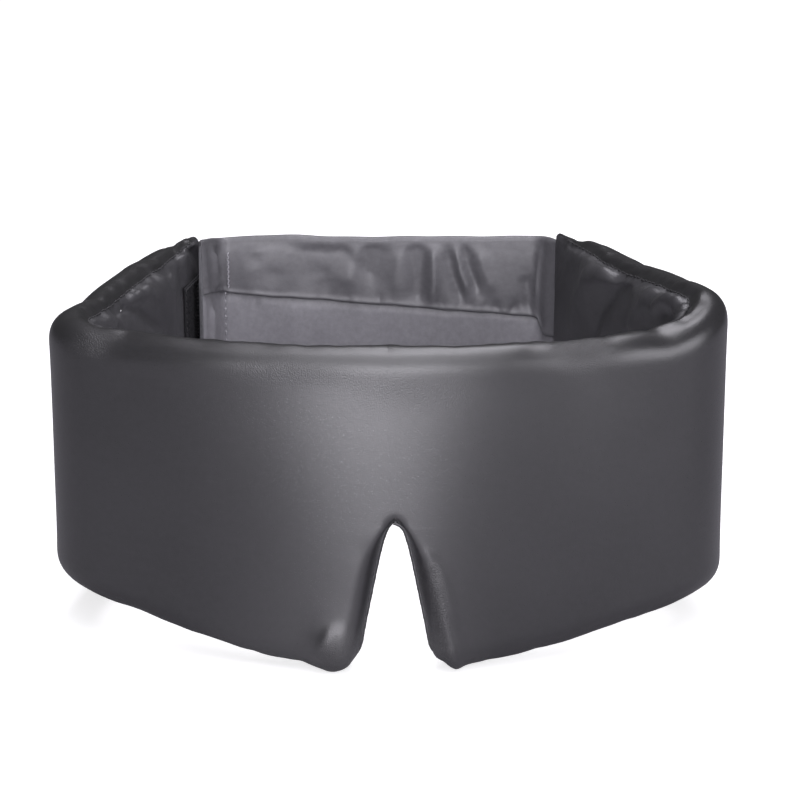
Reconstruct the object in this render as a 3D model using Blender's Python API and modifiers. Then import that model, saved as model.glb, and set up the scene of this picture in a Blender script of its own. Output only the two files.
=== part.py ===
"""Wraparound padded sleep eye mask: a padded front with a nose notch, two padded wings, and a satin
strap sewn to the right wing whose folded tab closes on the left wing with hook and loop."""
import bpy
from math import sin, cos, pi, radians, sqrt, hypot, acos
from mathutils import Vector

for old in list(bpy.data.objects):
    bpy.data.objects.remove(old, do_unlink=True)

# ---------------------------------------------------------------- driving dimensions, metres
FRONT_Y = -0.100            # middle surface of the front at the centre
FRONT_R = 0.197             # plan radius of the front
FRONT_ANGLE = radians(28.5)
CORNER_R = 0.022            # plan radius where the front turns into a wing
CORNER_ANGLE = {1: radians(75.0), -1: radians(69.3)}     # right, left
WING_R = {1: 0.60, -1: 0.70}
WING_LEN = {1: 0.121, -1: 0.133}
PAD_HALF = 0.009            # half thickness of the padding
TAPER_LEN = 0.045           # the wings thin out over this length at the rear
WING_END_HALF = {1: 0.0026, -1: 0.0035}
END_ROUND = 0.005
TOP_Z = 0.0525
RIGHT_RISE = 0.0035         # the right wing stands this much higher than the front
LOBE_Z = -0.058             # lowest point either side of the nose
CORNER_Z = -0.042           # bottom edge at the corners
WING_END_Z = -0.028         # bottom edge at the rear of the wings
APEX_Z = -0.009             # top of the nose notch
LOBE_ROUND = 0.0075
LOBE_RISE = 0.0044
NOTCH_SPREAD = 0.055        # the cloth flows around the notch over this width
NOTCH_X = 0.0015
SKIN_T = 0.0008             # satin with its backing
GAP = 0.0003                # clearance between neighbouring layers
CORNER_GAP = 0.0006         # clearance at each body's mitre
SEAM_TOP = radians(-36.0)   # where the cover's edge sits on the rolled top, inner side
SEAM_BOTTOM = radians(-21.0)
NOTCH_EDGE_N = 0.0009       # how far each skin's edge stays from the middle surface at the notch
FRONT_CORE_INSET = 0.0019   # the front's wadding is eased back where the cloth bends round the notch
CORE_END = 0.0035           # the wings' wadding stops this far before the rear end
SEAM_OPEN = 0.0007          # width of the groove between cover and lining
CORD_R = 0.00045
PIPING_R = 0.0007
BLACKOUT_T = 0.0005

STRAP_H = 0.065
STRAP_LEFT = (-0.0650, 0.0840, 0.0470)     # back left corner, middle surface, top edge height
STRAP_RIGHT = (0.0605, 0.0725, 0.0502)     # back right corner
ROOT_BEND_R = 0.0075
TAB_BEND_R = 0.0055
PANEL_T = 0.0007
CORE_T = 0.0016
PANEL_SEAM_LEFT = 0.0272    # height of the seam between the strap's two inner panels
PANEL_SEAM_RIGHT = 0.0198
TAB_T = 0.0024
TAB_LEN = 0.024
TAB_RISE = 0.0045           # the tab slants up this much towards its tip
LOOP_T = 0.0008
HOOK_T = 0.0009
PATCH_TOP = 0.036
PATCH_BOTTOM = -0.010

# ---------------------------------------------------------------- collections and materials
mask = bpy.data.collections.new("sleep_eye_mask")
bpy.context.scene.collection.children.link(mask)


def material(name, colour, rough, sheen=0.0):
    m = bpy.data.materials.new(name)
    m.use_nodes = True
    shader = m.node_tree.nodes["Principled BSDF"]
    shader.inputs["Base Color"].default_value = (*colour, 1.0)
    shader.inputs["Roughness"].default_value = rough
    shader.inputs["Sheen Weight"].default_value = sheen
    return m


def place(name, mesh, colour, rough, modifiers=()):
    ob = bpy.data.objects.new(name, mesh)
    mask.objects.link(ob)
    ob.data.materials.append(material(name + "_mat", colour, rough))
    for kind, values in modifiers:
        mod = ob.modifiers.new(kind.title(), kind)
        for key, value in values.items():
            setattr(mod, key, value)
    return ob


SATIN = (0.085, 0.085, 0.093)
LINING = (0.075, 0.075, 0.083)
WADDING = (0.80, 0.80, 0.78)
THREAD = (0.055, 0.055, 0.060)
HOOK = (0.030, 0.030, 0.033)

# ---------------------------------------------------------------- plan of the pad
MITRE = {side: FRONT_R * FRONT_ANGLE + CORNER_R * CORNER_ANGLE[side] / 2 for side in (1, -1)}
LENGTH = {side: FRONT_R * FRONT_ANGLE + CORNER_R * CORNER_ANGLE[side] + WING_LEN[side] for side in (1, -1)}


def side_of(s):
    return 1 if s >= 0 else -1


def plan(s):
    """Point and heading of the middle surface at arc length s from the centre, right half positive."""
    side = side_of(s)
    left = abs(s)
    x, y, head = 0.0, FRONT_Y, 0.0
    for radius, length in ((FRONT_R, FRONT_R * FRONT_ANGLE), (CORNER_R, CORNER_R * CORNER_ANGLE[side]),
                           (WING_R[side], 1.0)):
        turn = min(left, length) / radius
        x += radius * (sin(head + turn) - sin(head))
        y += radius * (cos(head) - cos(head + turn))
        head += turn
        left -= min(left, length)
        if left <= 1e-9:
            break
    return side * x, y, head, side


def at(s, n, z):
    """Point at arc length s, distance n outward from the middle surface, height z."""
    x, y, head, side = plan(s)
    return Vector((x + side * n * sin(head), y - n * cos(head), z))


def mix(a, b, t):
    t = min(1.0, max(0.0, t))
    return a + (b - a) * t


def smooth(t):
    t = min(1.0, max(0.0, t))
    return t * t * (3 - 2 * t)


def top_z(s):
    if s <= 0:
        return TOP_Z
    return TOP_Z + RIGHT_RISE * smooth((s - 0.085) / 0.055)


def bottom_z(s):
    side = side_of(s)
    a = abs(s)
    if a < MITRE[side]:
        rise = max(0.0, (a - 0.008) / (MITRE[side] - 0.008)) ** 1.15
        z = mix(LOBE_Z, CORNER_Z, rise)
        if a < LOBE_ROUND:
            z += LOBE_RISE * (1 - sqrt(1 - (1 - a / LOBE_ROUND) ** 2))
        return z
    return mix(CORNER_Z, WING_END_Z, (a - MITRE[side]) / (LENGTH[side] - MITRE[side]))


def pad_half(s):
    side = side_of(s)
    rear = LENGTH[side] - abs(s)
    half = mix(WING_END_HALF[side], PAD_HALF, (rear - END_ROUND) / (TAPER_LEN - END_ROUND))
    if rear < END_ROUND:
        half = mix(0.0015, half, sqrt(1 - (1 - rear / END_ROUND) ** 2))
    return half


def notch_half(depth):
    """Half width of the nose notch at a depth below its apex."""
    depth = max(0.0, depth)
    return 0.0500 * sqrt(depth) + 33.0 * depth ** 3


class Layer:
    """A skin of the pad, a given distance inside its outside surface."""

    def __init__(self, inset):
        self.inset = inset

    def point(self, s, theta_side, kind, value):
        """kind 'top' or 'bottom': value is the angle round the roll; 'flat': value runs 0..1 down the face."""
        half = pad_half(s)
        r = half - self.inset
        zc_top = top_z(s) - half
        zc_bottom = bottom_z(s) + half
        if kind.endswith("edge"):
            value -= SEAM_OPEN / half
        if kind.startswith("top"):
            n, z = r * sin(value), zc_top + r * cos(value)
        elif kind.startswith("bottom"):
            n, z = r * sin(value), zc_bottom - r * cos(value)
        else:
            apex = APEX_Z + self.inset
            if value <= 0.5:
                z = mix(zc_top, apex, value * 2)
            else:
                z = mix(apex, zc_bottom, value * 2 - 1)
            n = r * theta_side
        return self.shaped(s, n, z, half, theta_side)

    def shaped(self, s, n, z, half, facing=0):
        side = side_of(s)
        a = abs(s)
        x_shift = 0.0
        depth = APEX_Z + self.inset - z
        if a < MITRE[side]:
            if depth > 0:
                near = a
                if a < NOTCH_SPREAD:
                    x_shift = (notch_half(depth) + self.inset) * (0.5 + 0.5 * cos(pi * a / NOTCH_SPREAD))
            else:
                near = hypot(a, depth)
            r = half - self.inset
            near += 0.015 * r
            if near < r:
                n *= sqrt(1 - (1 - near / r) ** 2)
                if facing:
                    least = mix(NOTCH_EDGE_N, -r, 1.5 * near / r)
                    n = facing * max(facing * n, least)
            fade = 1 - smooth(a / NOTCH_SPREAD)
            centre = NOTCH_X * fade * smooth((APEX_Z + 0.03 - z) / 0.03)
            return at(side * (a + x_shift) + centre, n, z)
        return at(s, n, z)


FLAT = (0.0, 0.24, 0.42, 0.475, 0.5, 0.515, 0.56, 0.64, 0.76, 0.88, 1.0)


def cover_rows():
    rows = [("top", v) for v in (SEAM_TOP, radians(-6), radians(27), radians(59))]
    rows += [("flat", v) for v in FLAT]
    rows += [("bottom", v) for v in (radians(56), radians(17), SEAM_BOTTOM)]
    return rows, 1


def lining_rows():
    rows = [("top edge", SEAM_TOP), ("top", radians(-66))]
    rows += [("flat", v) for v in FLAT]
    rows += [("bottom", radians(-58)), ("bottom edge", SEAM_BOTTOM)]
    return rows, -1


def half_rows(sign):
    rows = [("top", sign * v) for v in (radians(8), radians(48))]
    rows += [("flat", v) for v in FLAT]
    rows += [("bottom", sign * v) for v in (radians(48), radians(8))]
    return rows, sign


def front_columns():
    near = [PAD_HALF * (1 - cos(radians(v))) for v in (0, 30, 56, 80)]
    far = [0.014, 0.022, 0.032, 0.044, 0.058, 0.074, 0.090]
    return near + far


def corner_columns(side, last):
    first = FRONT_R * FRONT_ANGLE
    return [first + (last - first) * k / 3 for k in range(4)]


def wing_columns(side):
    first = MITRE[side] + CORNER_GAP / 2
    corner = FRONT_R * FRONT_ANGLE + CORNER_R * CORNER_ANGLE[side]
    rear = LENGTH[side]
    steps = [first + (corner - first) * k / 3 for k in range(3)]
    steps += [corner + (rear - TAPER_LEN - corner) * k / 3 for k in range(4)]
    steps += [rear - TAPER_LEN * f for f in (0.66, 0.33)]
    steps += [rear - END_ROUND * f for f in (1.0, 0.4, 0.0)]
    return steps


def front_sheet(layer, rows, sign, end_inset=0.0):
    """Vertices and faces of one skin of the front; the halves share the centre column above the notch."""
    verts, faces, index = [], [], {}
    apex_row = [i for i, row in enumerate(rows) if row == ("flat", 0.5)][0]
    for side in (1, -1):
        last = MITRE[side] - CORNER_GAP / 2 - end_inset
        columns = front_columns() + corner_columns(side, last)
        for i, a in enumerate(columns):
            for j, (kind, value) in enumerate(rows):
                if i == 0 and side == -1 and j <= apex_row:
                    index[side, i, j] = index[1, i, j]
                    continue
                index[side, i, j] = len(verts)
                verts.append(layer.point(side * max(a, 1e-7), sign, kind, value))
        for i in range(len(columns) - 1):
            for j in range(len(rows) - 1):
                quad = [index[side, i, j], index[side, i + 1, j], index[side, i + 1, j + 1], index[side, i, j + 1]]
                faces.append(quad if side * sign < 0 else quad[::-1])
    return verts, faces


def wing_sheet(side, layer, rows, sign, start_inset=0.0, end_inset=0.0):
    verts, faces = [], []
    columns = wing_columns(side)
    columns[0] += start_inset
    columns = [c for c in columns if c < LENGTH[side] - end_inset - 1e-6] + [LENGTH[side] - end_inset]
    for a in columns:
        for kind, value in rows:
            verts.append(layer.point(side * a, sign, kind, value))
    m = len(rows)
    for i in range(len(columns) - 1):
        for j in range(m - 1):
            quad = [i * m + j, (i + 1) * m + j, (i + 1) * m + j + 1, i * m + j + 1]
            faces.append(quad if side * sign < 0 else quad[::-1])
    return verts, faces


def mesh_of(name, verts, faces):
    me = bpy.data.meshes.new(name)
    me.from_pydata(verts, [], faces)
    me.validate()
    me.update()
    return me


def skin(name, sheet, colour):
    """A sheet given its thickness inward."""
    mesh = mesh_of(name, *sheet)
    solid = ("SOLIDIFY", {"thickness": SKIN_T, "offset": -1.0, "use_even_offset": True, "use_rim": True})
    return place(name, mesh, colour, 0.38, [solid])


def bridged(name, outer, inner, colour):
    """A solid loft between two facing sheets with the same columns and rows."""
    verts, faces = outer
    count = len(verts)
    edges = {}
    for f in faces:
        for k in range(4):
            a, b = f[k], f[(k + 1) % 4]
            edges[a, b] = edges.get((a, b), 0) + 1
    rim = [(a, b) for a, b in edges if (b, a) not in edges]
    solid = list(faces) + [[v + count for v in f] for f in inner[1]]
    solid += [[b, a, a + count, b + count] for a, b in rim]
    return place(name, mesh_of(name, list(verts) + list(inner[0]), solid), colour, 0.9)


def cord(name, points, radius, colour, rough=0.5):
    """A round cord along points, capped at both ends."""
    curve = bpy.data.curves.new(name, "CURVE")
    curve.dimensions = "3D"
    curve.bevel_depth = radius
    curve.bevel_resolution = 1
    curve.use_fill_caps = True
    spline = curve.splines.new("POLY")
    spline.points.add(len(points) - 1)
    for target, p in zip(spline.points, points):
        target.co = (*p, 1.0)
    ob = bpy.data.objects.new(name, curve)
    mask.objects.link(ob)
    ob.data.materials.append(material(name + "_mat", colour, rough))
    return ob


# ---------------------------------------------------------------- the pad: front and wings
COVER = Layer(0.0)
CORE = Layer(SKIN_T + 2 * GAP)

rows, sign = cover_rows()
skin("front_cover", front_sheet(COVER, rows, sign), SATIN)
for side, word in ((1, "right"), (-1, "left")):
    skin(word + "_wing_cover", wing_sheet(side, COVER, rows, sign), SATIN)

rows, sign = lining_rows()
skin("front_lining", front_sheet(COVER, rows, sign), LINING)
for side, word in ((1, "right"), (-1, "left")):
    skin(word + "_wing_lining", wing_sheet(side, COVER, rows, sign), LINING)


class Backed(Layer):
    """The inner side of the front's wadding, which leaves room for the blackout layer."""

    def shaped(self, s, n, z, half, facing=0):
        flat = half - self.inset
        keep = max(0.0, min(1.0, (abs(n) / flat - 0.6) / 0.3))
        return super().shaped(s, n + keep * (BLACKOUT_T + GAP), z, half, facing)


FRONT_CORE = Layer(FRONT_CORE_INSET)
INNER_CORE = Backed(FRONT_CORE_INSET)
bridged("front_wadding", front_sheet(FRONT_CORE, *half_rows(1)), front_sheet(INNER_CORE, *half_rows(-1)), WADDING)
for side, word in ((1, "right"), (-1, "left")):
    outer = wing_sheet(side, CORE, *half_rows(1), end_inset=CORE_END)
    inner = wing_sheet(side, CORE, *half_rows(-1), end_inset=CORE_END)
    bridged(word + "_wing_wadding", outer, inner, WADDING)


def blackout_sheet(side):
    """Opaque cloth between lining and wadding, over the flat of one half of the front."""
    layer = Layer(SKIN_T + GAP)
    rows = [("flat", v) for v in FLAT]
    columns = [c for c in front_columns() if c > 0.008] + corner_columns(side, MITRE[side] - 0.0025)
    verts = [layer.point(side * a, -1, kind, value) for a in columns for kind, value in rows]
    m = len(rows)
    faces = []
    for i in range(len(columns) - 1):
        for j in range(m - 1):
            quad = [i * m + j, (i + 1) * m + j, (i + 1) * m + j + 1, i * m + j + 1]
            faces.append(quad if side > 0 else quad[::-1])
    return verts, faces


for side, word in ((1, "right"), (-1, "left")):
    mesh = mesh_of("blackout_layer_" + word, *blackout_sheet(side))
    solid = ("SOLIDIFY", {"thickness": BLACKOUT_T, "offset": -1.0, "use_even_offset": True})
    place("blackout_layer_" + word, mesh, (0.012, 0.012, 0.014), 0.95, [solid])

# ---------------------------------------------------------------- seam cords and the notch piping


def roll_point(s, kind, theta, proud):
    half = pad_half(s)
    r = half + proud
    z = top_z(s) - half + r * cos(theta) if kind == "top" else bottom_z(s) + half - r * cos(theta)
    return COVER.shaped(s, r * sin(theta), z, half)


def seam(name, start, end, kind, theta, count):
    points = [roll_point(start + (end - start) * k / (count - 1), kind, theta, GAP + CORD_R)
              for k in range(count)]
    cord(name, points, CORD_R, THREAD)


mid_top = SEAM_TOP - radians(2.5)
mid_bottom = SEAM_BOTTOM - radians(2.5)
seam("front_top_seam", -(MITRE[-1] - 0.002), MITRE[1] - 0.002, "top", mid_top, 25)
seam("front_bottom_seam_right", 0.012, MITRE[1] - 0.002, "bottom", mid_bottom, 12)
seam("front_bottom_seam_left", -0.012, -(MITRE[-1] - 0.002), "bottom", mid_bottom, 12)
for side, word in ((1, "right"), (-1, "left")):
    ends = side * (MITRE[side] + 0.002), side * (LENGTH[side] - 0.010)
    seam(word + "_wing_top_seam", *ends, "top", mid_top, 13)
    seam(word + "_wing_bottom_seam", *ends, "bottom", mid_bottom, 13)

depth_end = APEX_Z - (LOBE_Z + LOBE_RISE) - 0.002
flank = [depth_end * (k / 14) ** 1.7 for k in range(15)]
path = []
for side in (-1, 1):
    part = []
    for depth in flank:
        z = APEX_Z - depth
        centre = NOTCH_X * smooth((APEX_Z + 0.03 - z) / 0.03)
        part.append(at(side * notch_half(depth) + centre, 0.0, z))
    path += part[::-1] if side < 0 else part[1:]
cord("nose_notch_piping", path, PIPING_R, THREAD)

# ---------------------------------------------------------------- plan of the strap and its tab


def inner_face(side, rear, extra):
    """Plan point on the lining of a wing, rear metres before its end, extra metres further in."""
    s = side * (LENGTH[side] - rear)
    p = at(s, -(pad_half(s) + extra), 0.0)
    return Vector((p.x, p.y))


TAB_STAND = 2 * GAP + LOOP_T + HOOK_T + GAP + TAB_T / 2
tab_rear = inner_face(-1, 0.0055, TAB_STAND)
tab_front = inner_face(-1, 0.0280, TAB_STAND)
tab_dir = (tab_rear - tab_front).normalized()
strap_dir = (Vector(STRAP_RIGHT[:2]) - Vector(STRAP_LEFT[:2])).normalized()


def crossing(p, u, q, v):
    det = u.x * (-v.y) + v.x * u.y
    d = q - p
    return p + u * ((d.x * (-v.y) + v.x * d.y) / det)


def round_corner(before, corner, after, radius, count):
    """Plan points and outward normals round a corner between two straight runs."""
    u = (corner - before).normalized()
    v = (after - corner).normalized()
    turn = acos(max(-1.0, min(1.0, u.dot(v))))
    reach = radius * (sin(turn / 2) / cos(turn / 2))
    start = corner - u * reach
    inward = Vector((-u.y, u.x))
    if inward.dot(v) < 0:
        inward = -inward
    centre = start + inward * radius
    out = []
    for k in range(count + 1):
        a = turn * k / count
        normal = -inward * cos(a) + u * sin(a)
        out.append((centre + normal * radius, normal))
    return out


back_left = crossing(tab_rear, tab_dir, Vector(STRAP_LEFT[:2]), strap_dir)
root_s = LENGTH[1]
root_x, root_y, root_head, _ = plan(root_s)
root_dir = Vector((cos(root_head), sin(root_head)))
root_start = Vector((root_x, root_y)) + root_dir * 0.0006
back_right = crossing(root_start, root_dir, Vector(STRAP_RIGHT[:2]), strap_dir)
tab_tip = back_left - tab_dir * (TAB_LEN + 0.004)
root_arc = round_corner(root_start, back_right, back_left, ROOT_BEND_R, 8)
tab_arc = round_corner(back_right, back_left, tab_tip, TAB_BEND_R, 8)
strap_run = (back_left - back_right).length


def strap_top(p):
    """Heights of the top edge and of the seam between the inner panels."""
    across = Vector((p.x, p.y)) - back_left
    t = across.dot(strap_dir) / strap_run
    rise = mix(0.0, TAB_RISE, -across.dot(tab_dir) / TAB_LEN)
    return mix(STRAP_LEFT[2], STRAP_RIGHT[2], t) + rise, mix(PANEL_SEAM_LEFT, PANEL_SEAM_RIGHT, t) + rise


def trimmed(stations, shift):
    """Stations with the first one moved along the run by shift."""
    (p0, n0), (p1, n1) = stations[0], stations[1]
    step = (p1 - p0).normalized() * shift
    return [(p0 + step, n0)] + stations[1:]


half_gap = CORNER_GAP / 2
root_stations = trimmed([(root_start, root_arc[0][1])] + root_arc[:5], 0.0)
root_stations = trimmed(root_stations[::-1], half_gap)[::-1]
strap_stations = root_arc[4:]
for k in range(1, 6):
    strap_stations.append((root_arc[-1][0].lerp(tab_arc[0][0], k / 6), tab_arc[0][1]))
strap_stations += tab_arc[:5]
strap_stations = trimmed(strap_stations, half_gap)
strap_stations = trimmed(strap_stations[::-1], half_gap)[::-1]
tab_stations = tab_arc[4:]
for k in range(1, 4):
    tab_stations.append((tab_arc[-1][0].lerp(tab_tip, k / 3), tab_arc[-1][1]))
tab_stations = trimmed(tab_stations, half_gap)


def band(name, stations, n, thickness, levels, colour, rough=0.38):
    """A flat band following the stations: outer face at n, thickness towards the head."""
    verts = []
    m = 4
    for p, normal in stations:
        high, low = levels(p)
        q = p + normal * n
        for k in range(m):
            verts.append(Vector((q.x, q.y, high + (low - high) * k / (m - 1))))
    faces = []
    for i in range(len(stations) - 1):
        for j in range(m - 1):
            faces.append([i * m + j, i * m + j + 1, (i + 1) * m + j + 1, (i + 1) * m + j])
    solid = ("SOLIDIFY", {"thickness": thickness, "offset": -1.0, "use_even_offset": True})
    return place(name, mesh_of(name, verts, faces), colour, rough, [solid])


def full(p):
    high, _ = strap_top(p)
    return high, high - STRAP_H


def core_levels(p):
    high, _ = strap_top(p)
    return high - 0.0008, high - STRAP_H + 0.0008


def upper(p):
    high, line = strap_top(p)
    return high, line + 0.0004


def lower(p):
    high, line = strap_top(p)
    return line - 0.0004, high - STRAP_H


BAND_HALF = CORE_T / 2 + GAP + PANEL_T
band("strap_root_band", root_stations, BAND_HALF, 2 * BAND_HALF, full, SATIN)
band("strap_outer_panel", strap_stations, BAND_HALF, PANEL_T, full, SATIN)
band("strap_interlining", strap_stations, CORE_T / 2, CORE_T, core_levels, WADDING, 0.9)
band("strap_inner_upper_panel", strap_stations, -BAND_HALF + PANEL_T, PANEL_T, upper, LINING)
band("strap_inner_lower_panel", strap_stations, -BAND_HALF + PANEL_T, PANEL_T, lower, LINING)
band("tab_cover", tab_stations, TAB_T / 2, TAB_T, full, SATIN)


def hook_levels(p):
    return PATCH_TOP - 0.001, PATCH_BOTTOM + 0.001


flat_start = tab_arc[-1][0].lerp(tab_tip, 0.08)
flat_end = tab_arc[-1][0].lerp(tab_tip, 0.92)
hook_stations = [(flat_start.lerp(flat_end, k / 3), tab_arc[-1][1]) for k in range(4)]
band("hook_patch", hook_stations, TAB_T / 2 + GAP + HOOK_T, HOOK_T, hook_levels, HOOK, 0.9)


def loop_sheet():
    verts, faces = [], []
    stops = [0.030, 0.0255, 0.021, 0.0165, 0.012, 0.0075]
    m = 4
    for rear in stops:
        for k in range(m):
            s = -(LENGTH[-1] - rear)
            z = mix(PATCH_TOP, PATCH_BOTTOM, k / (m - 1))
            verts.append(at(s, -(pad_half(s) + GAP + LOOP_T), z))
    for i in range(len(stops) - 1):
        for j in range(m - 1):
            faces.append([i * m + j, i * m + j + 1, (i + 1) * m + j + 1, (i + 1) * m + j])
    return verts, faces


mesh = mesh_of("loop_patch", *loop_sheet())
place("loop_patch", mesh, HOOK, 0.95, [("SOLIDIFY", {"thickness": LOOP_T, "offset": -1.0})])

# ---------------------------------------------------------------- stitching
edge_s = -(LENGTH[-1] - 0.0312)
stitch = []
for k in range(15):
    z = mix(PATCH_TOP, PATCH_BOTTOM, k / 14)
    wave = 0.0004 * (-1) ** k
    stitch.append(at(edge_s - wave, -(pad_half(edge_s - wave) + GAP + 0.00035), z))
cord("loop_patch_stitching", stitch, 0.0003, THREAD)

high, low = full(tab_arc[-1][0])
base = tab_arc[-1][0].lerp(tab_tip, 0.06)
normal = tab_arc[-1][1]
stitch = []
for k in range(27):
    z = mix(high - 0.004, low + 0.004, k / 26)
    q = base - tab_dir * (0.0008 * (-1) ** k) - normal * (TAB_T / 2 + GAP + 0.0003)
    stitch.append(Vector((q.x, q.y, z)))
cord("tab_stitching", stitch, 0.0003, THREAD)
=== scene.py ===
"""Looks of the padded satin sleep eye mask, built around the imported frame."""
import bpy
import bmesh
import numpy as np
from math import pi, radians, sin, cos, acos
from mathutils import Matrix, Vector


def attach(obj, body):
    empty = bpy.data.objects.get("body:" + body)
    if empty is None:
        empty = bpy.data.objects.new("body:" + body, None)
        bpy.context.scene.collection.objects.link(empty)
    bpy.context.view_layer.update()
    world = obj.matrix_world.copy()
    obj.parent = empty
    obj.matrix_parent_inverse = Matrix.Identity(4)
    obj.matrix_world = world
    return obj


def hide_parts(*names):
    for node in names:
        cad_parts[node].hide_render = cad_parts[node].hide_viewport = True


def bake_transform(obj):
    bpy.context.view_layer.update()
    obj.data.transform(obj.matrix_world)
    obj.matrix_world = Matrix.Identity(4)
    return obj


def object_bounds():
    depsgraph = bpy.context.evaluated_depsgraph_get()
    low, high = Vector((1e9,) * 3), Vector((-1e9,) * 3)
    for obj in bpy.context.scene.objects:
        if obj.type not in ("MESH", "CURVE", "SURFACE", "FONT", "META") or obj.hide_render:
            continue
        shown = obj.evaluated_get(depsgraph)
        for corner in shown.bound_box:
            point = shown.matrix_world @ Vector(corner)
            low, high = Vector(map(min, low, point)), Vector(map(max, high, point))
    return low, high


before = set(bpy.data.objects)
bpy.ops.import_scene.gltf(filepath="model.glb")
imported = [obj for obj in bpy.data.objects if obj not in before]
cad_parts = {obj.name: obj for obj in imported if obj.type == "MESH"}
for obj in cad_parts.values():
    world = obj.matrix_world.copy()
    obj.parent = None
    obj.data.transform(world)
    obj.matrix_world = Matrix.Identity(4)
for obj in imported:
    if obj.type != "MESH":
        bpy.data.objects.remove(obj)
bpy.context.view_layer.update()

# ---- plan and outline: the CAD's, with the notch, the lobes and the edges trimmed to the photo
FRONT_Y = -0.100
FRONT_R = 0.197
FRONT_ANGLE = radians(28.5)
CORNER_R = 0.022
CORNER_ANGLE = {1: radians(75.0), -1: radians(69.3)}
WING_R = {1: 0.60, -1: 0.70}
WING_LEN = {1: 0.121, -1: 0.133}
PAD_HALF = 0.009
TAPER_LEN = 0.045
WING_END_HALF = {1: 0.0026, -1: 0.0035}
END_ROUND = 0.005
TOP_Z = 0.0525
RIGHT_RISE = 0.0035
LOBE_Z = -0.0551
CORNER_Z = -0.042
WING_END_Z = -0.028
APEX_Z = -0.0050
LOBE_ROUND = 0.0075
LOBE_RISE = 0.0052
NOTCH_SPREAD = 0.055
NOTCH_X = 0.0021
SEAM_TOP = radians(-36.0)
SEAM_BOTTOM = radians(-21.0)
GROOVE = 0.0022             # how far the seams pull the cloth in
GROOVE_W = 0.0024
NOSE_RIDGE = 0.0095         # how far the cloth stands forward over the nose, at the lobes
NOSE_WIDTH = 0.050
CROWN = 0.0018              # the padding bellies out this much at mid height
APEX_ROLL = 0.24            # share of the half thickness that the edge rolls in over, above the notch
FLANK_ROLL = 0.66           # and beside it

# how far the real edges stand off the CAD's plain lines, as (arc length, rise), from left to right
TOP_DRIFT = ((-0.262, -0.0030), (-0.235, -0.0018), (-0.200, -0.0014), (-0.150, -0.0018), (-0.122, 0.0004),
             (-0.108, 0.0012), (-0.090, 0.0), (0.092, 0.0), (0.108, 0.0026), (0.122, 0.0044), (0.142, 0.0026),
             (0.185, -0.0008), (0.215, -0.0008), (0.250, -0.0024))
BOTTOM_DRIFT = ((-0.150, 0.0006), (-0.128, 0.0012), (-0.104, 0.0020), (-0.085, 0.0008), (-0.045, -0.0014),
                (-0.020, 0.0), (0.020, 0.0), (0.050, -0.0022), (0.085, -0.0014), (0.105, -0.0004),
                (0.120, -0.0022), (0.150, -0.0010))

STRAP_H = 0.065
STRAP_LEFT = (-0.0650, 0.0840, 0.0470)
STRAP_RIGHT = (0.0605, 0.0725, 0.0502)
ROOT_BEND_R = 0.0075
TAB_BEND_R = 0.0055
BAND_HALF = 0.0018
PANEL_SEAM_LEFT = 0.0272
PANEL_SEAM_RIGHT = 0.0198
TAB_T = 0.0024
TAB_LEN = 0.024
TAB_RISE = 0.0045
GAP = 0.0003
LOOP_T = 0.0008
HOOK_T = 0.0009
PATCH_TOP = 0.036
PATCH_BOTTOM = -0.010

FRONT_LEN = FRONT_R * FRONT_ANGLE
MITRE = {k: FRONT_LEN + CORNER_R * CORNER_ANGLE[k] / 2 for k in (1, -1)}
CORNER_END = {k: FRONT_LEN + CORNER_R * CORNER_ANGLE[k] for k in (1, -1)}
LENGTH = {k: CORNER_END[k] + WING_LEN[k] for k in (1, -1)}


def pick(table, s):
    return np.where(np.asarray(s) >= 0, table[1], table[-1])


def smooth(t):
    t = np.clip(t, 0.0, 1.0)
    return t * t * (3 - 2 * t)


def mix(a, b, t):
    return a + (b - a) * np.clip(t, 0.0, 1.0)


def plan(s):
    """Plan point and heading of the pad's middle surface at arc length s from the centre."""
    a = np.abs(s)
    h1 = np.minimum(a, FRONT_LEN) / FRONT_R
    turn2 = np.clip(a - FRONT_LEN, 0, CORNER_R * pick(CORNER_ANGLE, s)) / CORNER_R
    h2 = h1 + turn2
    wing_r = pick(WING_R, s)
    h3 = h2 + np.maximum(a - pick(CORNER_END, s), 0) / wing_r
    x = FRONT_R * np.sin(h1) + CORNER_R * (np.sin(h2) - np.sin(h1))
    x = x + wing_r * (np.sin(h3) - np.sin(h2))
    y = FRONT_Y + FRONT_R * (1 - np.cos(h1)) + CORNER_R * (np.cos(h1) - np.cos(h2))
    y = y + wing_r * (np.cos(h2) - np.cos(h3))
    return x * np.where(np.asarray(s) >= 0, 1.0, -1.0), y, h3


def at(s, n, z):
    """Points at arc length s, n outward of the middle surface, height z."""
    s = np.asarray(s, float)
    x, y, head = plan(s)
    side = np.where(s >= 0, 1.0, -1.0)
    return np.stack(np.broadcast_arrays(x + side * n * np.sin(head), y - n * np.cos(head), z), -1)


def drift(s, table):
    """Rise at arc length s, read from a table of (arc length, rise)."""
    return np.interp(s, *zip(*table))


def top_z(s):
    """Height of the top edge: level across the front, easing over the corners, drooping along the wings."""
    rise = np.where(np.asarray(s) > 0, RIGHT_RISE * smooth((s - 0.085) / 0.055), 0.0)
    return TOP_Z + rise + drift(s, TOP_DRIFT)


def bottom_z(s):
    """Height of the bottom edge: up from the lobes beside the nose to the corners, then along the wings."""
    a = np.abs(s)
    mitre = pick(MITRE, s)
    rise = np.maximum(0.0, (a - 0.008) / (mitre - 0.008)) ** 1.15
    z = mix(LOBE_Z, CORNER_Z, rise)
    lobe = np.clip(1 - a / LOBE_ROUND, 0, 1)
    z = z + LOBE_RISE * (1 - np.sqrt(1 - lobe ** 2))
    wing = mix(CORNER_Z, WING_END_Z, (a - mitre) / (pick(LENGTH, s) - mitre))
    return np.where(a < mitre, z, wing) + drift(s, BOTTOM_DRIFT)


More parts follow.
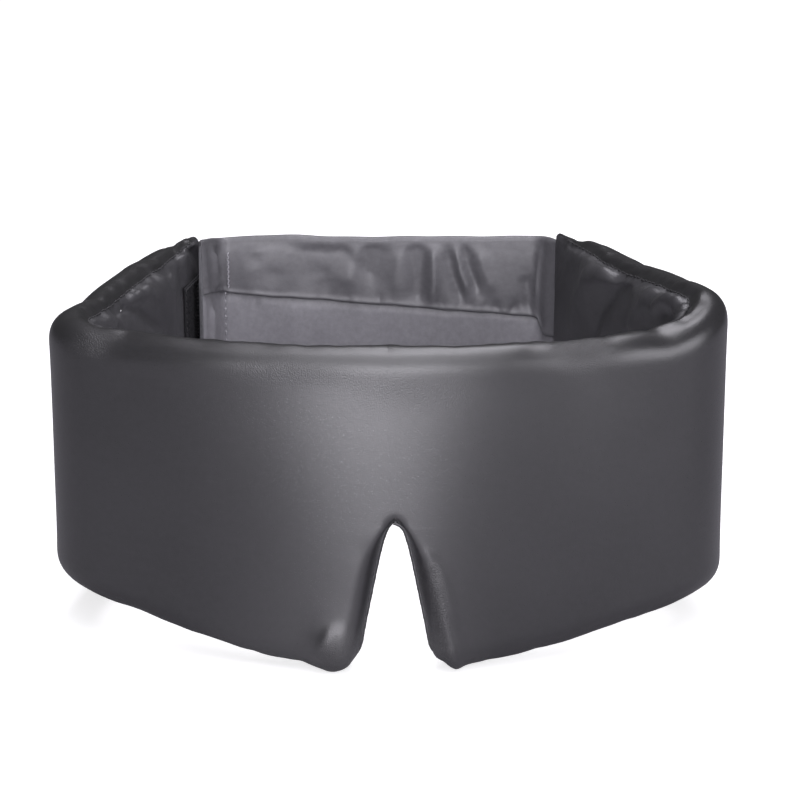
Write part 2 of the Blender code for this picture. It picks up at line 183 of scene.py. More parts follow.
def pad_half(s):
    """Half thickness of the padding, tapering toward the wing's rounded rear end."""
    rear = pick(LENGTH, s) - np.abs(s)
    half = mix(pick(WING_END_HALF, s), PAD_HALF, (rear - END_ROUND) / (TAPER_LEN - END_ROUND))
    close = np.sqrt(np.clip(1 - (1 - np.clip(rear / END_ROUND, 0, 1)) ** 2, 0, 1))
    return np.where(rear < END_ROUND, mix(0.0008, half, close), half)


def notch_half(depth):
    """Half width of the nose notch at a depth below its apex."""
    depth = np.maximum(depth, 0.0)
    return 0.0470 * np.sqrt(depth) + 18.0 * depth ** 3


def notch_gap(s, depth):
    """Distance from a point beside or above the notch to the notch's outline."""
    edge = np.linspace(0, 0.245, 500) ** 2
    reach = (np.asarray(s)[:, None] - notch_half(edge)) ** 2 + (np.reshape(depth, (-1, 1)) - edge) ** 2
    return np.sqrt(reach.min(1))


# ---- small mesh helpers
def new_object(name, verts, faces):
    me = bpy.data.meshes.new(name)
    me.from_pydata([tuple(v) for v in verts], [], [tuple(f) for f in faces])
    me.update()
    me.shade_smooth()
    ob = bpy.data.objects.new(name, me)
    bpy.context.scene.collection.objects.link(ob)
    return ob


def coords(me):
    co = np.zeros(len(me.vertices) * 3)
    me.vertices.foreach_get("co", co)
    return co.reshape(-1, 3)


def normals_of(me):
    no = np.zeros(len(me.vertices) * 3)
    me.vertex_normals.foreach_get("vector", no)
    return no.reshape(-1, 3)


def set_coords(me, co):
    me.vertices.foreach_set("co", np.ascontiguousarray(co).ravel())
    me.update()


def store(me, name, values):
    attribute = me.attributes.get(name) or me.attributes.new(name, "FLOAT", "POINT")
    attribute.data.foreach_set("value", np.asarray(values, np.float32))


def fetch(me, name):
    out = np.zeros(len(me.vertices), np.float32)
    me.attributes[name].data.foreach_get("value", out)
    return out.astype(float)


def face_numbers(me, name):
    out = np.zeros(len(me.polygons), np.int32)
    me.attributes[name].data.foreach_get("value", out)
    return out


def edge_ends(me):
    ends = np.zeros(len(me.edges) * 2, np.int64)
    me.edges.foreach_get("vertices", ends)
    return ends.reshape(-1, 2)


def length_along(points):
    """Distance of each point from the first, along the line through them."""
    return np.concatenate([[0], np.cumsum(np.linalg.norm(np.diff(points, axis=0), axis=1))])


def along_line(t, run, line):
    """Points of a line at distances t along it."""
    return np.stack([np.interp(t, run, line[:, k]) for k in range(3)], 1)


def grid_faces(rows, cols):
    """Quads between the points of a grid."""
    i = np.arange(rows - 1)[:, None] * cols
    j = np.arange(cols - 1)[None, :]
    return np.stack([i + j, i + j + 1, i + j + cols + 1, i + j + cols], -1).reshape(-1, 4)


def applied(ob):
    """The object's mesh with its modifiers applied, in place of the old one."""
    dg = bpy.context.evaluated_depsgraph_get()
    me = bpy.data.meshes.new_from_object(ob.evaluated_get(dg), preserve_all_data_layers=True, depsgraph=dg)
    ob.modifiers.clear()
    old = ob.data
    ob.data = me
    bpy.data.meshes.remove(old)
    return ob


def refine(ob):
    mod = ob.modifiers.new("Refine", "SUBSURF")
    mod.levels = mod.render_levels = 1
    return applied(ob)


# ---- the padded body, cover and lining as one
TOP_OUT = 9
TOP_IN = 4
FLAT_UP = 20
FLAT_DOWN = 16
BOTTOM = 8


def section_rows():
    rows = [("top", 1, SEAM_TOP + (pi / 2 - SEAM_TOP) * k / TOP_OUT) for k in range(TOP_OUT)]
    rows += [("up", 1, k / FLAT_UP) for k in range(FLAT_UP)]
    rows += [("down", 1, (k / FLAT_DOWN) ** 1.2) for k in range(FLAT_DOWN)]
    rows += [("bottom", 1, k / BOTTOM) for k in range(BOTTOM)]
    rows += [("bottom", -1, 1 - k / BOTTOM) for k in range(BOTTOM)]
    rows += [("down", -1, (1 - k / FLAT_DOWN) ** 1.2) for k in range(FLAT_DOWN)]
    rows += [("up", -1, 1 - k / FLAT_UP) for k in range(FLAT_UP)]
    rows += [("top", -1, -pi / 2 + (SEAM_TOP + pi / 2) * k / TOP_IN) for k in range(TOP_IN)]
    return rows


ROWS = section_rows()
SEAM_ROW = TOP_OUT + FLAT_UP + FLAT_DOWN + BOTTOM
APEX_ROW = TOP_OUT + FLAT_UP
LINING_APEX_ROW = SEAM_ROW + BOTTOM + FLAT_DOWN


def place_row(s, row, inset=0.0):
    """Points of one row of the section along the columns s, before any sag or fold."""
    kind, face, v = row
    a = np.abs(s)
    side = np.where(s >= 0, 1.0, -1.0)
    half = pad_half(s)
    r = np.maximum(half - inset, 0.0004)
    if kind == "down":
        v = v ** (1.0 + 0.95 * (1 - smooth((a - 0.008) / 0.035)))
    top = top_z(s) - half
    bottom = bottom_z(s) + half
    apex = APEX_Z + inset
    pull = (GROOVE if inset == 0 else 0.0) * np.clip(half / PAD_HALF, 0, 1)
    if kind == "top":
        r = r - pull * np.exp(-(half * (v - SEAM_TOP) / GROOVE_W) ** 2)
        n, z = r * sin(v), top + r * cos(v)
    elif kind == "bottom":
        seam = SEAM_BOTTOM * smooth(a / 0.012)
        theta = face * pi / 2 + (seam - face * pi / 2) * v
        r = r - pull * np.exp(-(half * (theta - seam) / GROOVE_W) ** 2)
        n, z = r * np.sin(theta), bottom - r * np.cos(theta)
    else:
        z = mix(top, apex, v) if kind == "up" else mix(apex, bottom, v)
        n = face * r
    depth = apex - z
    front = a < pick(MITRE, s)
    spread = 0.5 + 0.5 * np.cos(pi * np.clip(a / NOTCH_SPREAD, 0, 1))
    shift = np.where(front & (depth > 0), (notch_half(depth) + inset) * spread, 0.0)
    near = notch_gap(a + shift, depth)
    near = np.where(depth > 0, np.minimum(near, a), near)
    roll = r * mix(APEX_ROLL, FLANK_ROLL, smooth((depth + 0.002) / 0.018))
    g = np.sqrt(np.clip(1 - (1 - np.clip(near / roll, 0, 1)) ** 2, 0, 1))
    n = np.where(front, n * g, n)
    t = np.clip((top - z) / (top - bottom), 0, 1)
    out = 0 if kind in ("top", "bottom") else face
    crown = CROWN * (4 * t * (1 - t)) * (1 if out > 0 else 0.4) * (1 - smooth((a - 0.055) / 0.045))
    n = n + out * crown * np.clip(half / PAD_HALF, 0, 1) * g
    fade = 1 - smooth(a / NOTCH_SPREAD)
    centre = np.where(front, NOTCH_X * fade * smooth((APEX_Z + 0.03 - z) / 0.03), 0.0)
    ridge = NOSE_RIDGE * np.exp(-((a + shift) / NOSE_WIDTH) ** 2) * np.clip((0.046 - z) / 0.103, 0, 1) ** 1.25
    return at(side * (a + shift) + centre, n + np.where(front, ridge, 0.0), z)


def pad_columns(side, step, short=0.0):
    """Arc lengths of the mesh's columns, close together beside the nose and at the rounded rear end."""
    near = [0.0, 0.0004, 0.0011, 0.0021, 0.0034, 0.0050, 0.0068, 0.0088, 0.0110, 0.0134]
    last = LENGTH[side] - END_ROUND - short
    rest = list(np.linspace(near[-1], last, int(round((last - near[-1]) / step)) + 1)[1:])
    tail = [] if short else [LENGTH[side] - END_ROUND * f for f in (0.62, 0.32, 0.1, 0.0)]
    return np.array(near + rest + tail)


def build_pad(name, step=0.0026, inset=0.0, short=0.0):
    """The padded body as one closed mesh, its left and right halves sharing the centre line."""
    m = len(ROWS)
    verts, index, quads, tags = [], {}, [], []
    info = {"s": [], "top": [], "low": [], "lin": [], "pin": []}
    for side in (1, -1):
        cols = pad_columns(side, step, short)
        grid = np.stack([place_row(side * np.maximum(cols, 1e-9), row, inset) for row in ROWS], 1)
        around = np.linalg.norm(np.diff(np.concatenate([grid, grid[:, :1]], 1), axis=1), axis=2)
        along = np.concatenate([np.zeros((len(cols), 1)), np.cumsum(around, 1)], 1)
        full = along[:, -1]
        for i in range(len(cols)):
            for j in range(m):
                key = (side, i, j)
                if i == 0:
                    if SEAM_ROW < j <= LINING_APEX_ROW:
                        index[key] = index[side, 0, 2 * SEAM_ROW - j]
                        continue
                    if side == -1 and (j <= APEX_ROW or j > LINING_APEX_ROW):
                        index[key] = index[1, 0, j]
                        continue
                index[key] = len(verts)
                verts.append(grid[i, j])
                d = along[i, j]
                low = along[i, SEAM_ROW]
                info["s"].append(side * cols[i])
                info["top"].append(min(d, full[i] - d))
                info["low"].append(abs(d - low))
                info["lin"].append(0.5 if j in (0, SEAM_ROW) else float(j > SEAM_ROW))
                flank = i == 0 and APEX_ROW <= j <= LINING_APEX_ROW
                end = i >= len(cols) - 3
                info["pin"].append(1.0 if j in (0, SEAM_ROW) or flank or end else 0.0)
        for i in range(len(cols) - 1):
            for j in range(m):
                corners = ((i, j), (i + 1, j), (i + 1, j + 1), (i, j + 1))
                quad = [index[side, c, r % m] for c, r in corners]
                uv = [(side * cols[c], along[c, r]) for c, r in corners]
                if side > 0:
                    quad, uv = quad[::-1], uv[::-1]
                keep = [n for n in range(4) if quad[n] != quad[n - 1]]
                quads.append([quad[n] for n in keep])
                tags.append((j >= SEAM_ROW, side, [uv[n] for n in keep]))
        cap = [index[side, len(cols) - 1, j] for j in range(m)]
        quads.append(cap if side > 0 else cap[::-1])
        tags.append((False, side, [(side * LENGTH[side], along[-1, j]) for j in range(m)]))
    ob = new_object(name, verts, quads)
    me = ob.data
    layer = me.uv_layers.new(name="cloth")
    flat = np.array([p for t in tags for p in t[2]], np.float32)
    layer.data.foreach_set("uv", flat.ravel())
    for key, values in info.items():
        store(me, key, values)
    lining = me.attributes.new("is_lining", "INT", "FACE")
    lining.data.foreach_set("value", np.array([int(t[0]) for t in tags], np.int32))
    half = me.attributes.new("half", "INT", "FACE")
    half.data.foreach_set("value", np.array([t[1] for t in tags], np.int32))
    return ob


def evened(me, field, weight, rounds):
    """The field averaged with its neighbours, as many times as rounds, where weight is 1."""
    a, b = edge_ends(me).T
    count = np.bincount(np.concatenate([a, b]), minlength=len(me.vertices))[:, None]
    for _ in range(rounds):
        total = np.zeros_like(field)
        np.add.at(total, a, field[b])
        np.add.at(total, b, field[a])
        field = field + (total / np.maximum(count, 1) - field) * (0.7 * weight[:, None])
    return field


def inflate(ob, frames=18, pressure=4.0, slack=0.02, cap=0.006):
    """Blows the pad up against its pinned seams, with a little more cloth than the outline needs."""
    rest = coords(ob.data).copy()
    pins = fetch(ob.data, "pin")
    top, low = fetch(ob.data, "top"), fetch(ob.data, "low")
    hold = np.where(pins > 0.5, 1.0, 0.30 * smooth((np.minimum(top, low) - 0.004) / 0.020))
    group = ob.vertex_groups.new(name="pins")
    for i, w in enumerate(hold):
        if w > 0.001:
            group.add([i], float(w), "REPLACE")
    mod = ob.modifiers.new("Cloth", "CLOTH")
    cloth = mod.settings
    cloth.quality = 5
    cloth.mass = 0.15
    cloth.tension_stiffness = 12
    cloth.compression_stiffness = 12
    cloth.shear_stiffness = 4
    cloth.bending_stiffness = 0.05
    cloth.use_pressure = True
    cloth.uniform_pressure_force = pressure
    cloth.effector_weights.gravity = 0
    cloth.shrink_min = -slack
    cloth.vertex_group_mass = group.name
    cloth.pin_stiffness = 1.0
    mod.point_cache.frame_start = 1
    mod.point_cache.frame_end = frames + 1
    scene = bpy.context.scene
    scene.frame_start, scene.frame_end = 1, frames + 1
    for f in range(1, frames + 1):
        scene.frame_set(f)
    dg = bpy.context.evaluated_depsgraph_get()
    blown = coords(ob.evaluated_get(dg).to_mesh()).copy()
    ob.evaluated_get(dg).to_mesh_clear()
    ob.modifiers.clear()
    ob.vertex_groups.clear()
    scene.frame_set(1)
    move = blown - rest
    size = np.linalg.norm(move, axis=1, keepdims=True)
    move *= np.where(size > cap, cap / np.maximum(size, 1e-9), 1.0)
    lin = fetch(ob.data, "lin")
    calm = np.clip((np.minimum(top, low) - 0.006) / 0.010, 0, 1) * np.where(lin < 0.5, 1.0, 0.25)
    move = evened(ob.data, move, calm, 24)
    set_coords(ob.data, rest + move)


# ---- the strap's path, corner to corner
def inner_point(side, rear, extra):
    s = side * (LENGTH[side] - rear)
    return at(s, -(float(pad_half(s)) + extra), 0.0)[:2]


def crossing(p, u, q, v):
    det = u[0] * (-v[1]) + v[0] * u[1]
    d = q - p
    return p + u * ((d[0] * (-v[1]) + v[0] * d[1]) / det)


def unit(v):
    return v / np.linalg.norm(v)


TAB_STAND = 2 * GAP + LOOP_T + HOOK_T + GAP + TAB_T / 2
tab_rear = inner_point(-1, 0.0055, TAB_STAND)
tab_dir = unit(tab_rear - inner_point(-1, 0.0280, TAB_STAND))
left_xy, right_xy = np.array(STRAP_LEFT[:2]), np.array(STRAP_RIGHT[:2])
strap_dir = unit(right_xy - left_xy)
back_left = crossing(tab_rear, tab_dir, left_xy, strap_dir)
root_x, root_y, root_head = (float(v) for v in plan(LENGTH[1]))
root_dir = np.array([cos(root_head), sin(root_head)])
root_start = np.array([root_x, root_y])
back_right = crossing(root_start, root_dir, right_xy, strap_dir)
tab_tip = back_left - tab_dir * (TAB_LEN + 0.004)


def rounded(before, corner, after, radius, count):
    u, v = unit(corner - before), unit(after - corner)
    turn = acos(float(np.clip(u @ v, -1, 1)))
    start = corner - u * radius * np.tan(turn / 2)
    inward = np.array([-u[1], u[0]])
    centre = start + inward * radius
    angles = np.linspace(0, turn, count + 1)
    return [centre - (inward * cos(t) - u * sin(t)) * radius for t in angles]


def strap_path(step=0.0012):
    """Plan points along the strap's middle surface from the wing's end to the tab's tip, evenly spaced."""
    pts = [root_start - root_dir * 0.004]
    pts += rounded(root_start, back_right, back_left, ROOT_BEND_R, 16)
    pts += rounded(back_right, back_left, tab_tip, TAB_BEND_R, 16)
    pts.append(tab_tip)
    pts = np.array(pts)
    run = length_along(pts)
    q = np.linspace(0, run[-1], int(run[-1] / step) + 1)
    xy = np.stack([np.interp(q, run, pts[:, k]) for k in (0, 1)], 1)
    tangent = np.gradient(xy, axis=0)
    tangent /= np.linalg.norm(tangent, axis=1, keepdims=True)
    normal = np.stack([tangent[:, 1], -tangent[:, 0]], 1)
    return q, xy, normal


Q, PATH, PATH_N = strap_path()
Q_END = Q[-1]


def q_near(point):
    return float(Q[np.argmin(np.linalg.norm(PATH - point, axis=1))])


root_arc = rounded(root_start, back_right, back_left, ROOT_BEND_R, 16)
tab_arc = rounded(back_right, back_left, tab_tip, TAB_BEND_R, 16)
Q_ROOT = q_near(root_arc[8])
Q_FOLD = q_near(tab_arc[8])
Q_MID = (Q_ROOT + Q_FOLD) / 2


def strap_at(q, n, z):
    """Points at length q along the strap, n outward of its middle surface, height z."""
    q = np.asarray(q, float)
    xy = np.stack([np.interp(q, Q, PATH[:, k]) for k in (0, 1)], -1)
    no = np.stack([np.interp(q, Q, PATH_N[:, k]) for k in (0, 1)], -1)
    no /= np.linalg.norm(no, axis=-1, keepdims=True)
    p = xy + no * np.asarray(n)[..., None]
    return np.concatenate([p, np.broadcast_to(z, q.shape)[..., None]], -1)


def strap_levels(q):
    """Top edge of the strap and height of its panel seam."""
    xy = np.stack([np.interp(q, Q, PATH[:, k]) for k in (0, 1)], -1)
    t = (xy - back_left) @ strap_dir / np.linalg.norm(back_left - back_right)
    rise = mix(0.0, TAB_RISE, -((xy - back_left) @ tab_dir) / TAB_LEN)
    top = mix(STRAP_LEFT[2], STRAP_RIGHT[2], t) + rise + 0.0009 * np.exp(-((q - 0.116) / 0.018) ** 2)
    line = mix(PANEL_SEAM_LEFT, PANEL_SEAM_RIGHT, t) + rise - 0.0060 * smooth((0.0150 - q) / 0.007)
    top_wave = 0.0002 * np.sin(q * 210) * np.sin(q * 94 + 1)
    line_wave = 0.0002 * np.sin(q * 330) * np.sin(q * 141)
    return top + top_wave, line + line_wave


def sweep(name, q, n, z, v):
    """A closed body through rings of points, one row of n and z per station q and one v per ring point."""
    count, m = n.shape
    verts = strap_at(np.repeat(q, m), n.ravel(), z.ravel())
    i = np.arange(count - 1)[:, None] * m
    j = np.arange(m)[None, :]
    k = (j + 1) % m
    quads = np.stack([i + j, i + k, i + m + k, i + m + j], -1).reshape(-1, 4)
    after = np.append(v[1:], v[-1] + 0.001)
    size = (count - 1, m)
    qa, qb = np.broadcast_to(q[:-1, None], size), np.broadcast_to(q[1:, None], size)
    va, vb = np.broadcast_to(v, size), np.broadcast_to(after, size)
    uv = np.stack([np.stack(pair, -1) for pair in ((qa, va), (qa, vb), (qb, vb), (qb, va))], 2)
    faces = quads.tolist()
    faces += [list(range(m))[::-1], [(count - 1) * m + c for c in range(m)]]
    ends = [(q[0], w) for w in v][::-1] + [(q[-1], w) for w in v]
    ob = new_object(name, verts, faces)
    layer = ob.data.uv_layers.new(name="cloth")
    layer.data.foreach_set("uv", np.concatenate([uv.reshape(-1, 2), ends]).astype(np.float32).ravel())
    pairs = edge_ends(ob.data)
    crisp = (pairs < m).all(1) | (pairs >= (count - 1) * m).all(1)
    ob.data.attributes.new("sharp_edge", "BOOLEAN", "EDGE").data.foreach_set("value", crisp)
    return outward(ob)


def outward(ob):
    """Turns the faces of a closed body the right way out."""
    bm = bmesh.new()
    bm.from_mesh(ob.data)
    if bm.calc_volume(signed=True) < 0:
        bmesh.ops.reverse_faces(bm, faces=bm.faces)
    bm.to_mesh(ob.data)
    bm.free()
    return ob


def tube(points, radius, sides=6):
    """Vertices and faces of a round-ended tube along points."""
    points = np.asarray(points, float)
    count = len(points)
    tangent = np.gradient(points, axis=0)
    tangent /= np.linalg.norm(tangent, axis=1, keepdims=True)
    side = np.cross(tangent, np.array([0.0, 0.0, 1.0]))
    bad = np.linalg.norm(side, axis=1) < 1e-3
    side[bad] = np.cross(tangent[bad], np.array([1.0, 0.1, 0.0]))
    side /= np.linalg.norm(side, axis=1, keepdims=True)
    up = np.cross(side, tangent)
    radii = np.asarray(radius, float) * np.ones(count)
    run = length_along(points)
    near = np.minimum(run, run[-1] - run)
    radii = radii * np.sqrt(np.clip(1 - (1 - np.clip(near / (radii + 1e-9), 0, 1)) ** 2, 0.12, 1))
    a = np.arange(sides) * 2 * pi / sides
    ring = side[:, None] * np.cos(a)[None, :, None] + up[:, None] * np.sin(a)[None, :, None]
    verts = (points[:, None] + ring * radii[:, None, None]).reshape(-1, 3)
    i = np.arange(count - 1)[:, None] * sides
    j = np.arange(sides)[None, :]
    k = (j + 1) % sides
    faces = np.stack([i + j, i + sides + j, i + sides + k, i + k], -1).reshape(-1, 4).tolist()
    faces += [list(range(sides)), [(count - 1) * sides + c for c in range(sides)][::-1]]
    return verts, faces


def gathered(name, parts):
    """One mesh object from many (verts, faces) parts."""
    verts, faces, base = [], [], 0
    for v, f in parts:
        verts.append(v)
        faces += [[base + c for c in face] for face in f]
        base += len(v)
    ob = new_object(name, np.concatenate(verts), faces)
    bm = bmesh.new()
    bm.from_mesh(ob.data)
    bmesh.ops.recalc_face_normals(bm, faces=bm.faces)
    bm.to_mesh(ob.data)
    bm.free()
    return ob


# ---- puckers and folds
def puckers(s, d, first, last, spacing, depth, reach, width, lean, rng):
    """Short valleys that run away from a seam; d is the distance from it."""
    out = np.zeros_like(s)
    p = first
    while p < last:
        w = width * rng.uniform(0.6, 1.5)
        far = reach * rng.uniform(0.5, 1.5)
        deep = depth * rng.uniform(0.25, 1.0)
        k = lean * rng.uniform(-1, 1)
        out -= deep * np.exp(-((s - p - k * d) / (w + 0.22 * d)) ** 2) * np.exp(-(d / far) ** 2)
        p += spacing * rng.uniform(0.55, 1.45)
    return out


def fold(u, v, line, width, height, sharp=1.6):
    """A ridge, or with a negative height a valley, along a line of (u, v) points, fading at both ends."""
    line = np.array(line, float)
    run = length_along(line)
    best = np.full(u.shape, 9.0)
    where = np.zeros(u.shape)
    for k in range(len(line) - 1):
        a, b = line[k], line[k + 1]
        length = run[k + 1] - run[k]
        d = (b - a) / length
        t = np.clip((u - a[0]) * d[0] + (v - a[1]) * d[1], 0, length)
        dist = np.hypot(u - a[0] - d[0] * t, v - a[1] - d[1] * t)
        nearer = dist < best
        best = np.where(nearer, dist, best)
        where = np.where(nearer, run[k] + t, where)
    ends = smooth(where / (0.25 * run[-1])) * smooth((run[-1] - where) / (0.25 * run[-1]))
    return height * np.exp(-np.abs(best / width) ** sharp) * (0.25 + 0.75 * ends)


def folded(u, v, table):
    """The sum of the folds in a table of lines, widths and heights."""
    return sum(fold(u, v, *row) for row in table)


def crumple(u, v, count, span, low, high, width, height, angle, rng):
    """Soft random folds over a panel: count ridges and valleys about angle, spread over span in u."""
    out = np.zeros_like(u)
    for _ in range(count):
        cu, cv = rng.uniform(*span), rng.uniform(low, high)
        a = angle + rng.uniform(-0.6, 0.6)
        reach = rng.uniform(0.008, 0.022)
        line = [(cu - reach * cos(a), cv - reach * sin(a)), (cu, cv),
                (cu + reach * cos(a + 0.3), cv + reach * sin(a + 0.3))]
        wide = width * rng.uniform(0.6, 1.4)
        out += fold(u, v, line, wide, height * rng.choice([-1.0, 1.0]) * rng.uniform(0.4, 1))
    return out


# the lining's main folds on each side: a line of (arc length, height) points, then width and height
LINING_FOLDS = {
    1: (
        ([(0.180, 0.056), (0.200, 0.047), (0.216, 0.036), (0.228, 0.018)], 0.0070, 0.0036),
        ([(0.168, 0.055), (0.184, 0.045), (0.199, 0.033), (0.212, 0.012)], 0.0060, -0.0032),
        ([(0.146, 0.056), (0.155, 0.046), (0.166, 0.034)], 0.0050, 0.0026),
        ([(0.122, 0.056), (0.133, 0.055), (0.146, 0.048)], 0.0026, 0.0024),
        ([(0.126, 0.050), (0.138, 0.048)], 0.0024, -0.0016),
        ([(0.224, 0.052), (0.233, 0.044), (0.241, 0.034)], 0.0035, 0.0012),
    ),
    -1: (
        ([(0.140, 0.053), (0.160, 0.046), (0.182, 0.038), (0.204, 0.026)], 0.0040, -0.0030),
        ([(0.150, 0.056), (0.172, 0.049), (0.196, 0.039)], 0.0060, 0.0016),
        ([(0.212, 0.055), (0.228, 0.052), (0.240, 0.043), (0.252, 0.028)], 0.0026, 0.0026),
        ([(0.205, 0.052), (0.220, 0.046), (0.232, 0.034)], 0.0050, -0.0018),
        ([(0.142, 0.047), (0.165, 0.052), (0.203, 0.056)], 0.0016, -0.0014),
    ),
}


# beside the notch, in run down the flank (the left one 0.2 further on) and distance from it
NOTCH_FOLDS = (
    ([(0.015, 0.0050), (0.030, 0.0062), (0.045, 0.0068), (0.062, 0.0074)], 0.0026, 0.0014),
    ([(0.238, 0.0130), (0.249, 0.0100), (0.262, 0.0060)], 0.0075, 0.0016),
)


def patch(u, v, u0, v0, across, high):
    """A soft round spot."""
    return np.exp(-((u - u0) / across) ** 2 - ((v - v0) / high) ** 2)


def detail_pad(ob):
    """Folds, puckers and the pinched look of the seams, as moves along the surface's own normals."""
    me = ob.data
    co, no = coords(me), normals_of(me)
    s, top, low, lin = (fetch(me, k) for k in ("s", "top", "low", "lin"))
    a, z = np.abs(s), co[:, 2]
    rng = np.random.default_rng(11)
    cover, inner = smooth((0.6 - lin) / 0.2), smooth((lin - 0.4) / 0.2)
    body = smooth(top / 0.004) * smooth(low / 0.004)
    move = np.zeros(len(s))
    for side in (-1, 1):
        here = (s * side >= 0)
        end = LENGTH[side] - 0.006
        wing = smooth((a - MITRE[side] + 0.01) / 0.02)
        # the cover stays calm on the front and ruffles a little along its edges
        edge = puckers(a, top, 0.004, end, 0.0075, 0.0005, 0.006, 0.0014, 0.5, rng)
        edge += puckers(a, low, 0.012, end, 0.0080, 0.0005, 0.007, 0.0016, 0.5, rng)
        # the lining is gathered harder, above all behind the corners
        gather = puckers(a, top, 0.004, end, 0.0055, 0.0010, 0.010, 0.0015, 0.6, rng) * (0.5 + 0.7 * wing)
        gather += puckers(a, low, 0.012, end, 0.0065, 0.0009, 0.009, 0.0016, 0.6, rng)
        folds = folded(a, z, LINING_FOLDS[side])
        folds += crumple(a, z, 9, (MITRE[side] - 0.01, end), -0.03, 0.040, 0.0055, 0.0009, 0.9, rng)
        folds += crumple(a, z, 14, (0.01, MITRE[side] - 0.01), -0.045, 0.045, 0.0050, 0.0007, 1.2, rng)
        room = np.clip(pad_half(s) / PAD_HALF, 0.2, 1)
        part = cover * edge + inner * (gather + folds * body) * room
        move += np.where(here, part, 0.0)
    # ruffles round the notch, and the crushed spots on the front's upper rim
    flank = np.where(z < APEX_Z + 0.002, a, np.hypot(a, z - APEX_Z))
    run = np.where(s > 0, -z, -z + 0.2)
    notch = puckers(run, flank, 0.016, 0.056, 0.0026, 0.0007, 0.0045, 0.0010, 0.5, rng)
    notch += puckers(run, flank, 0.214, 0.252, 0.0060, 0.0004, 0.005, 0.0016, 0.5, rng)
    notch += folded(run, flank, NOTCH_FOLDS)
    notch *= smooth((flank - 0.0008) / 0.0025)
    move += notch * smooth((APEX_Z + 0.004 - z) / 0.008)
    rim = puckers(s, top, 0.050, 0.078, 0.0050, 0.0007, 0.012, 0.0020, 0.8, rng)
    rim += puckers(s, top, -0.112, -0.096, 0.0050, 0.0006, 0.012, 0.0020, 0.8, rng)
    rim += fold(s, z, [(-0.0150, -0.0430), (-0.0085, -0.0460), (-0.0040, -0.0450)], 0.0050, 0.0010)
    move += cover * rim
    # where the cover is crushed, its threads catch the light one by one
    glint = patch(s, z, 0.062, 0.049, 0.011, 0.0050) + 0.8 * patch(s, z, -0.100, 0.047, 0.010, 0.0050)
    glint += 0.45 * patch(s, z, -0.030, 0.046, 0.020, 0.0050)
    glint += 0.25 * patch(s, z, 0.008, 0.040, 0.020, 0.0080)
    glint += patch(s, z, -0.0070, -0.0480, 0.0070, 0.0065)
    lean = 0.0054 - 0.0010 * smooth((-0.016 - z) / 0.036)
    band = smooth((-0.014 - z) / 0.006) * smooth((z + 0.056) / 0.006)
    glint += 1.1 * np.exp(-((s - lean) / 0.0024) ** 2) * band
    store(me, "glint", glint * cover)
    co += no * move[:, None]
    # the tab and its patches need the left wing's lining flat beneath them
    x, y, head = plan(s)
    out = np.stack([np.where(s >= 0, 1.0, -1.0) * np.sin(head), -np.cos(head)], -1)
    n = np.sum((co[:, :2] - np.stack([x, y], -1)) * out, 1)
    zone = smooth((a - (LENGTH[-1] - 0.040)) / 0.006)
    zone = zone * smooth((0.054 - z) / 0.004) * smooth((z + 0.020) / 0.004)
    zone = np.where((s < 0) & (lin > 0.5), zone, 0.0)
    over = np.clip(-(pad_half(s) + 0.0001) - n, 0, None) * zone
    co[:, :2] += out * over[:, None]
    set_coords(me, co)


def seam_line(me, key):
    """Points, normals and arc lengths along the top or bottom seam, ordered from left to right."""
    d = fetch(me, key)
    s = fetch(me, "s")
    lin = fetch(me, "lin")
    on = np.where((d < 2e-5) & (np.abs(lin - 0.5) < 0.02))[0]
    on = on[np.argsort(s[on])]
    keep = np.concatenate([[True], np.diff(s[on]) > 1e-5])
    on = on[keep]
    return coords(me)[on], normals_of(me)[on], s[on]


# ---- skins cut from the finished pad
def skin(name, me, faces, thickness=0.0005):
    """A closed cloth skin from some faces of the pad, with the whole pad's smooth normals."""
    loops = np.zeros(len(me.loops), np.int64)
    me.loops.foreach_get("vertex_index", loops)
    uv = np.zeros(len(me.loops) * 2, np.float32)
    me.uv_layers["cloth"].data.foreach_get("uv", uv)
    quads, uv = loops.reshape(-1, 4)[faces], uv.reshape(-1, 4, 2)[faces]
    used, local = np.unique(quads, return_inverse=True)
    local = local.reshape(-1, 4)
    co, no = coords(me)[used], normals_of(me)[used]
    count = len(used)
    pairs = np.stack([local, np.roll(local, -1, 1)], -1).reshape(-1, 2)
    code = np.sort(pairs, 1)
    key = code[:, 0] * count + code[:, 1]
    _, first, times = np.unique(key, return_index=True, return_counts=True)
    rim = pairs[first[times == 1]]
    verts = np.concatenate([co, co - no * thickness])
    sides = np.stack([rim[:, 1], rim[:, 0], rim[:, 0] + count, rim[:, 1] + count], -1)
    every = np.concatenate([local, local[:, ::-1] + count, sides])
    ob = new_object(name, verts, every.tolist())
    out = ob.data
    layer = out.uv_layers.new(name="cloth")
    rim_uv = np.zeros((len(sides), 4, 2), np.float32)
    layer.data.foreach_set("uv", np.concatenate([uv, uv[:, ::-1], rim_uv]).ravel())
    normals = np.concatenate([no[local], -no[local[:, ::-1]], np.zeros((len(sides), 4, 3))]).reshape(-1, 3)
    out.normals_split_custom_set(normals.tolist())
    store(out, "glint", np.tile(fetch(me, "glint")[used], 2))
    return ob


# ---- materials
def material(name, colour, rough, sheen=0.0, specular=0.5):
    m = bpy.data.materials.new(name)
    m.use_nodes = True
    shader = m.node_tree.nodes["Principled BSDF"]
    shader.inputs["Base Color"].default_value = (*colour, 1)
    shader.inputs["Roughness"].default_value = rough
    shader.inputs["Sheen Weight"].default_value = sheen
    shader.inputs["Sheen Roughness"].default_value = 0.4
    shader.inputs["Specular IOR Level"].default_value = specular
    return m, m.node_tree, shader


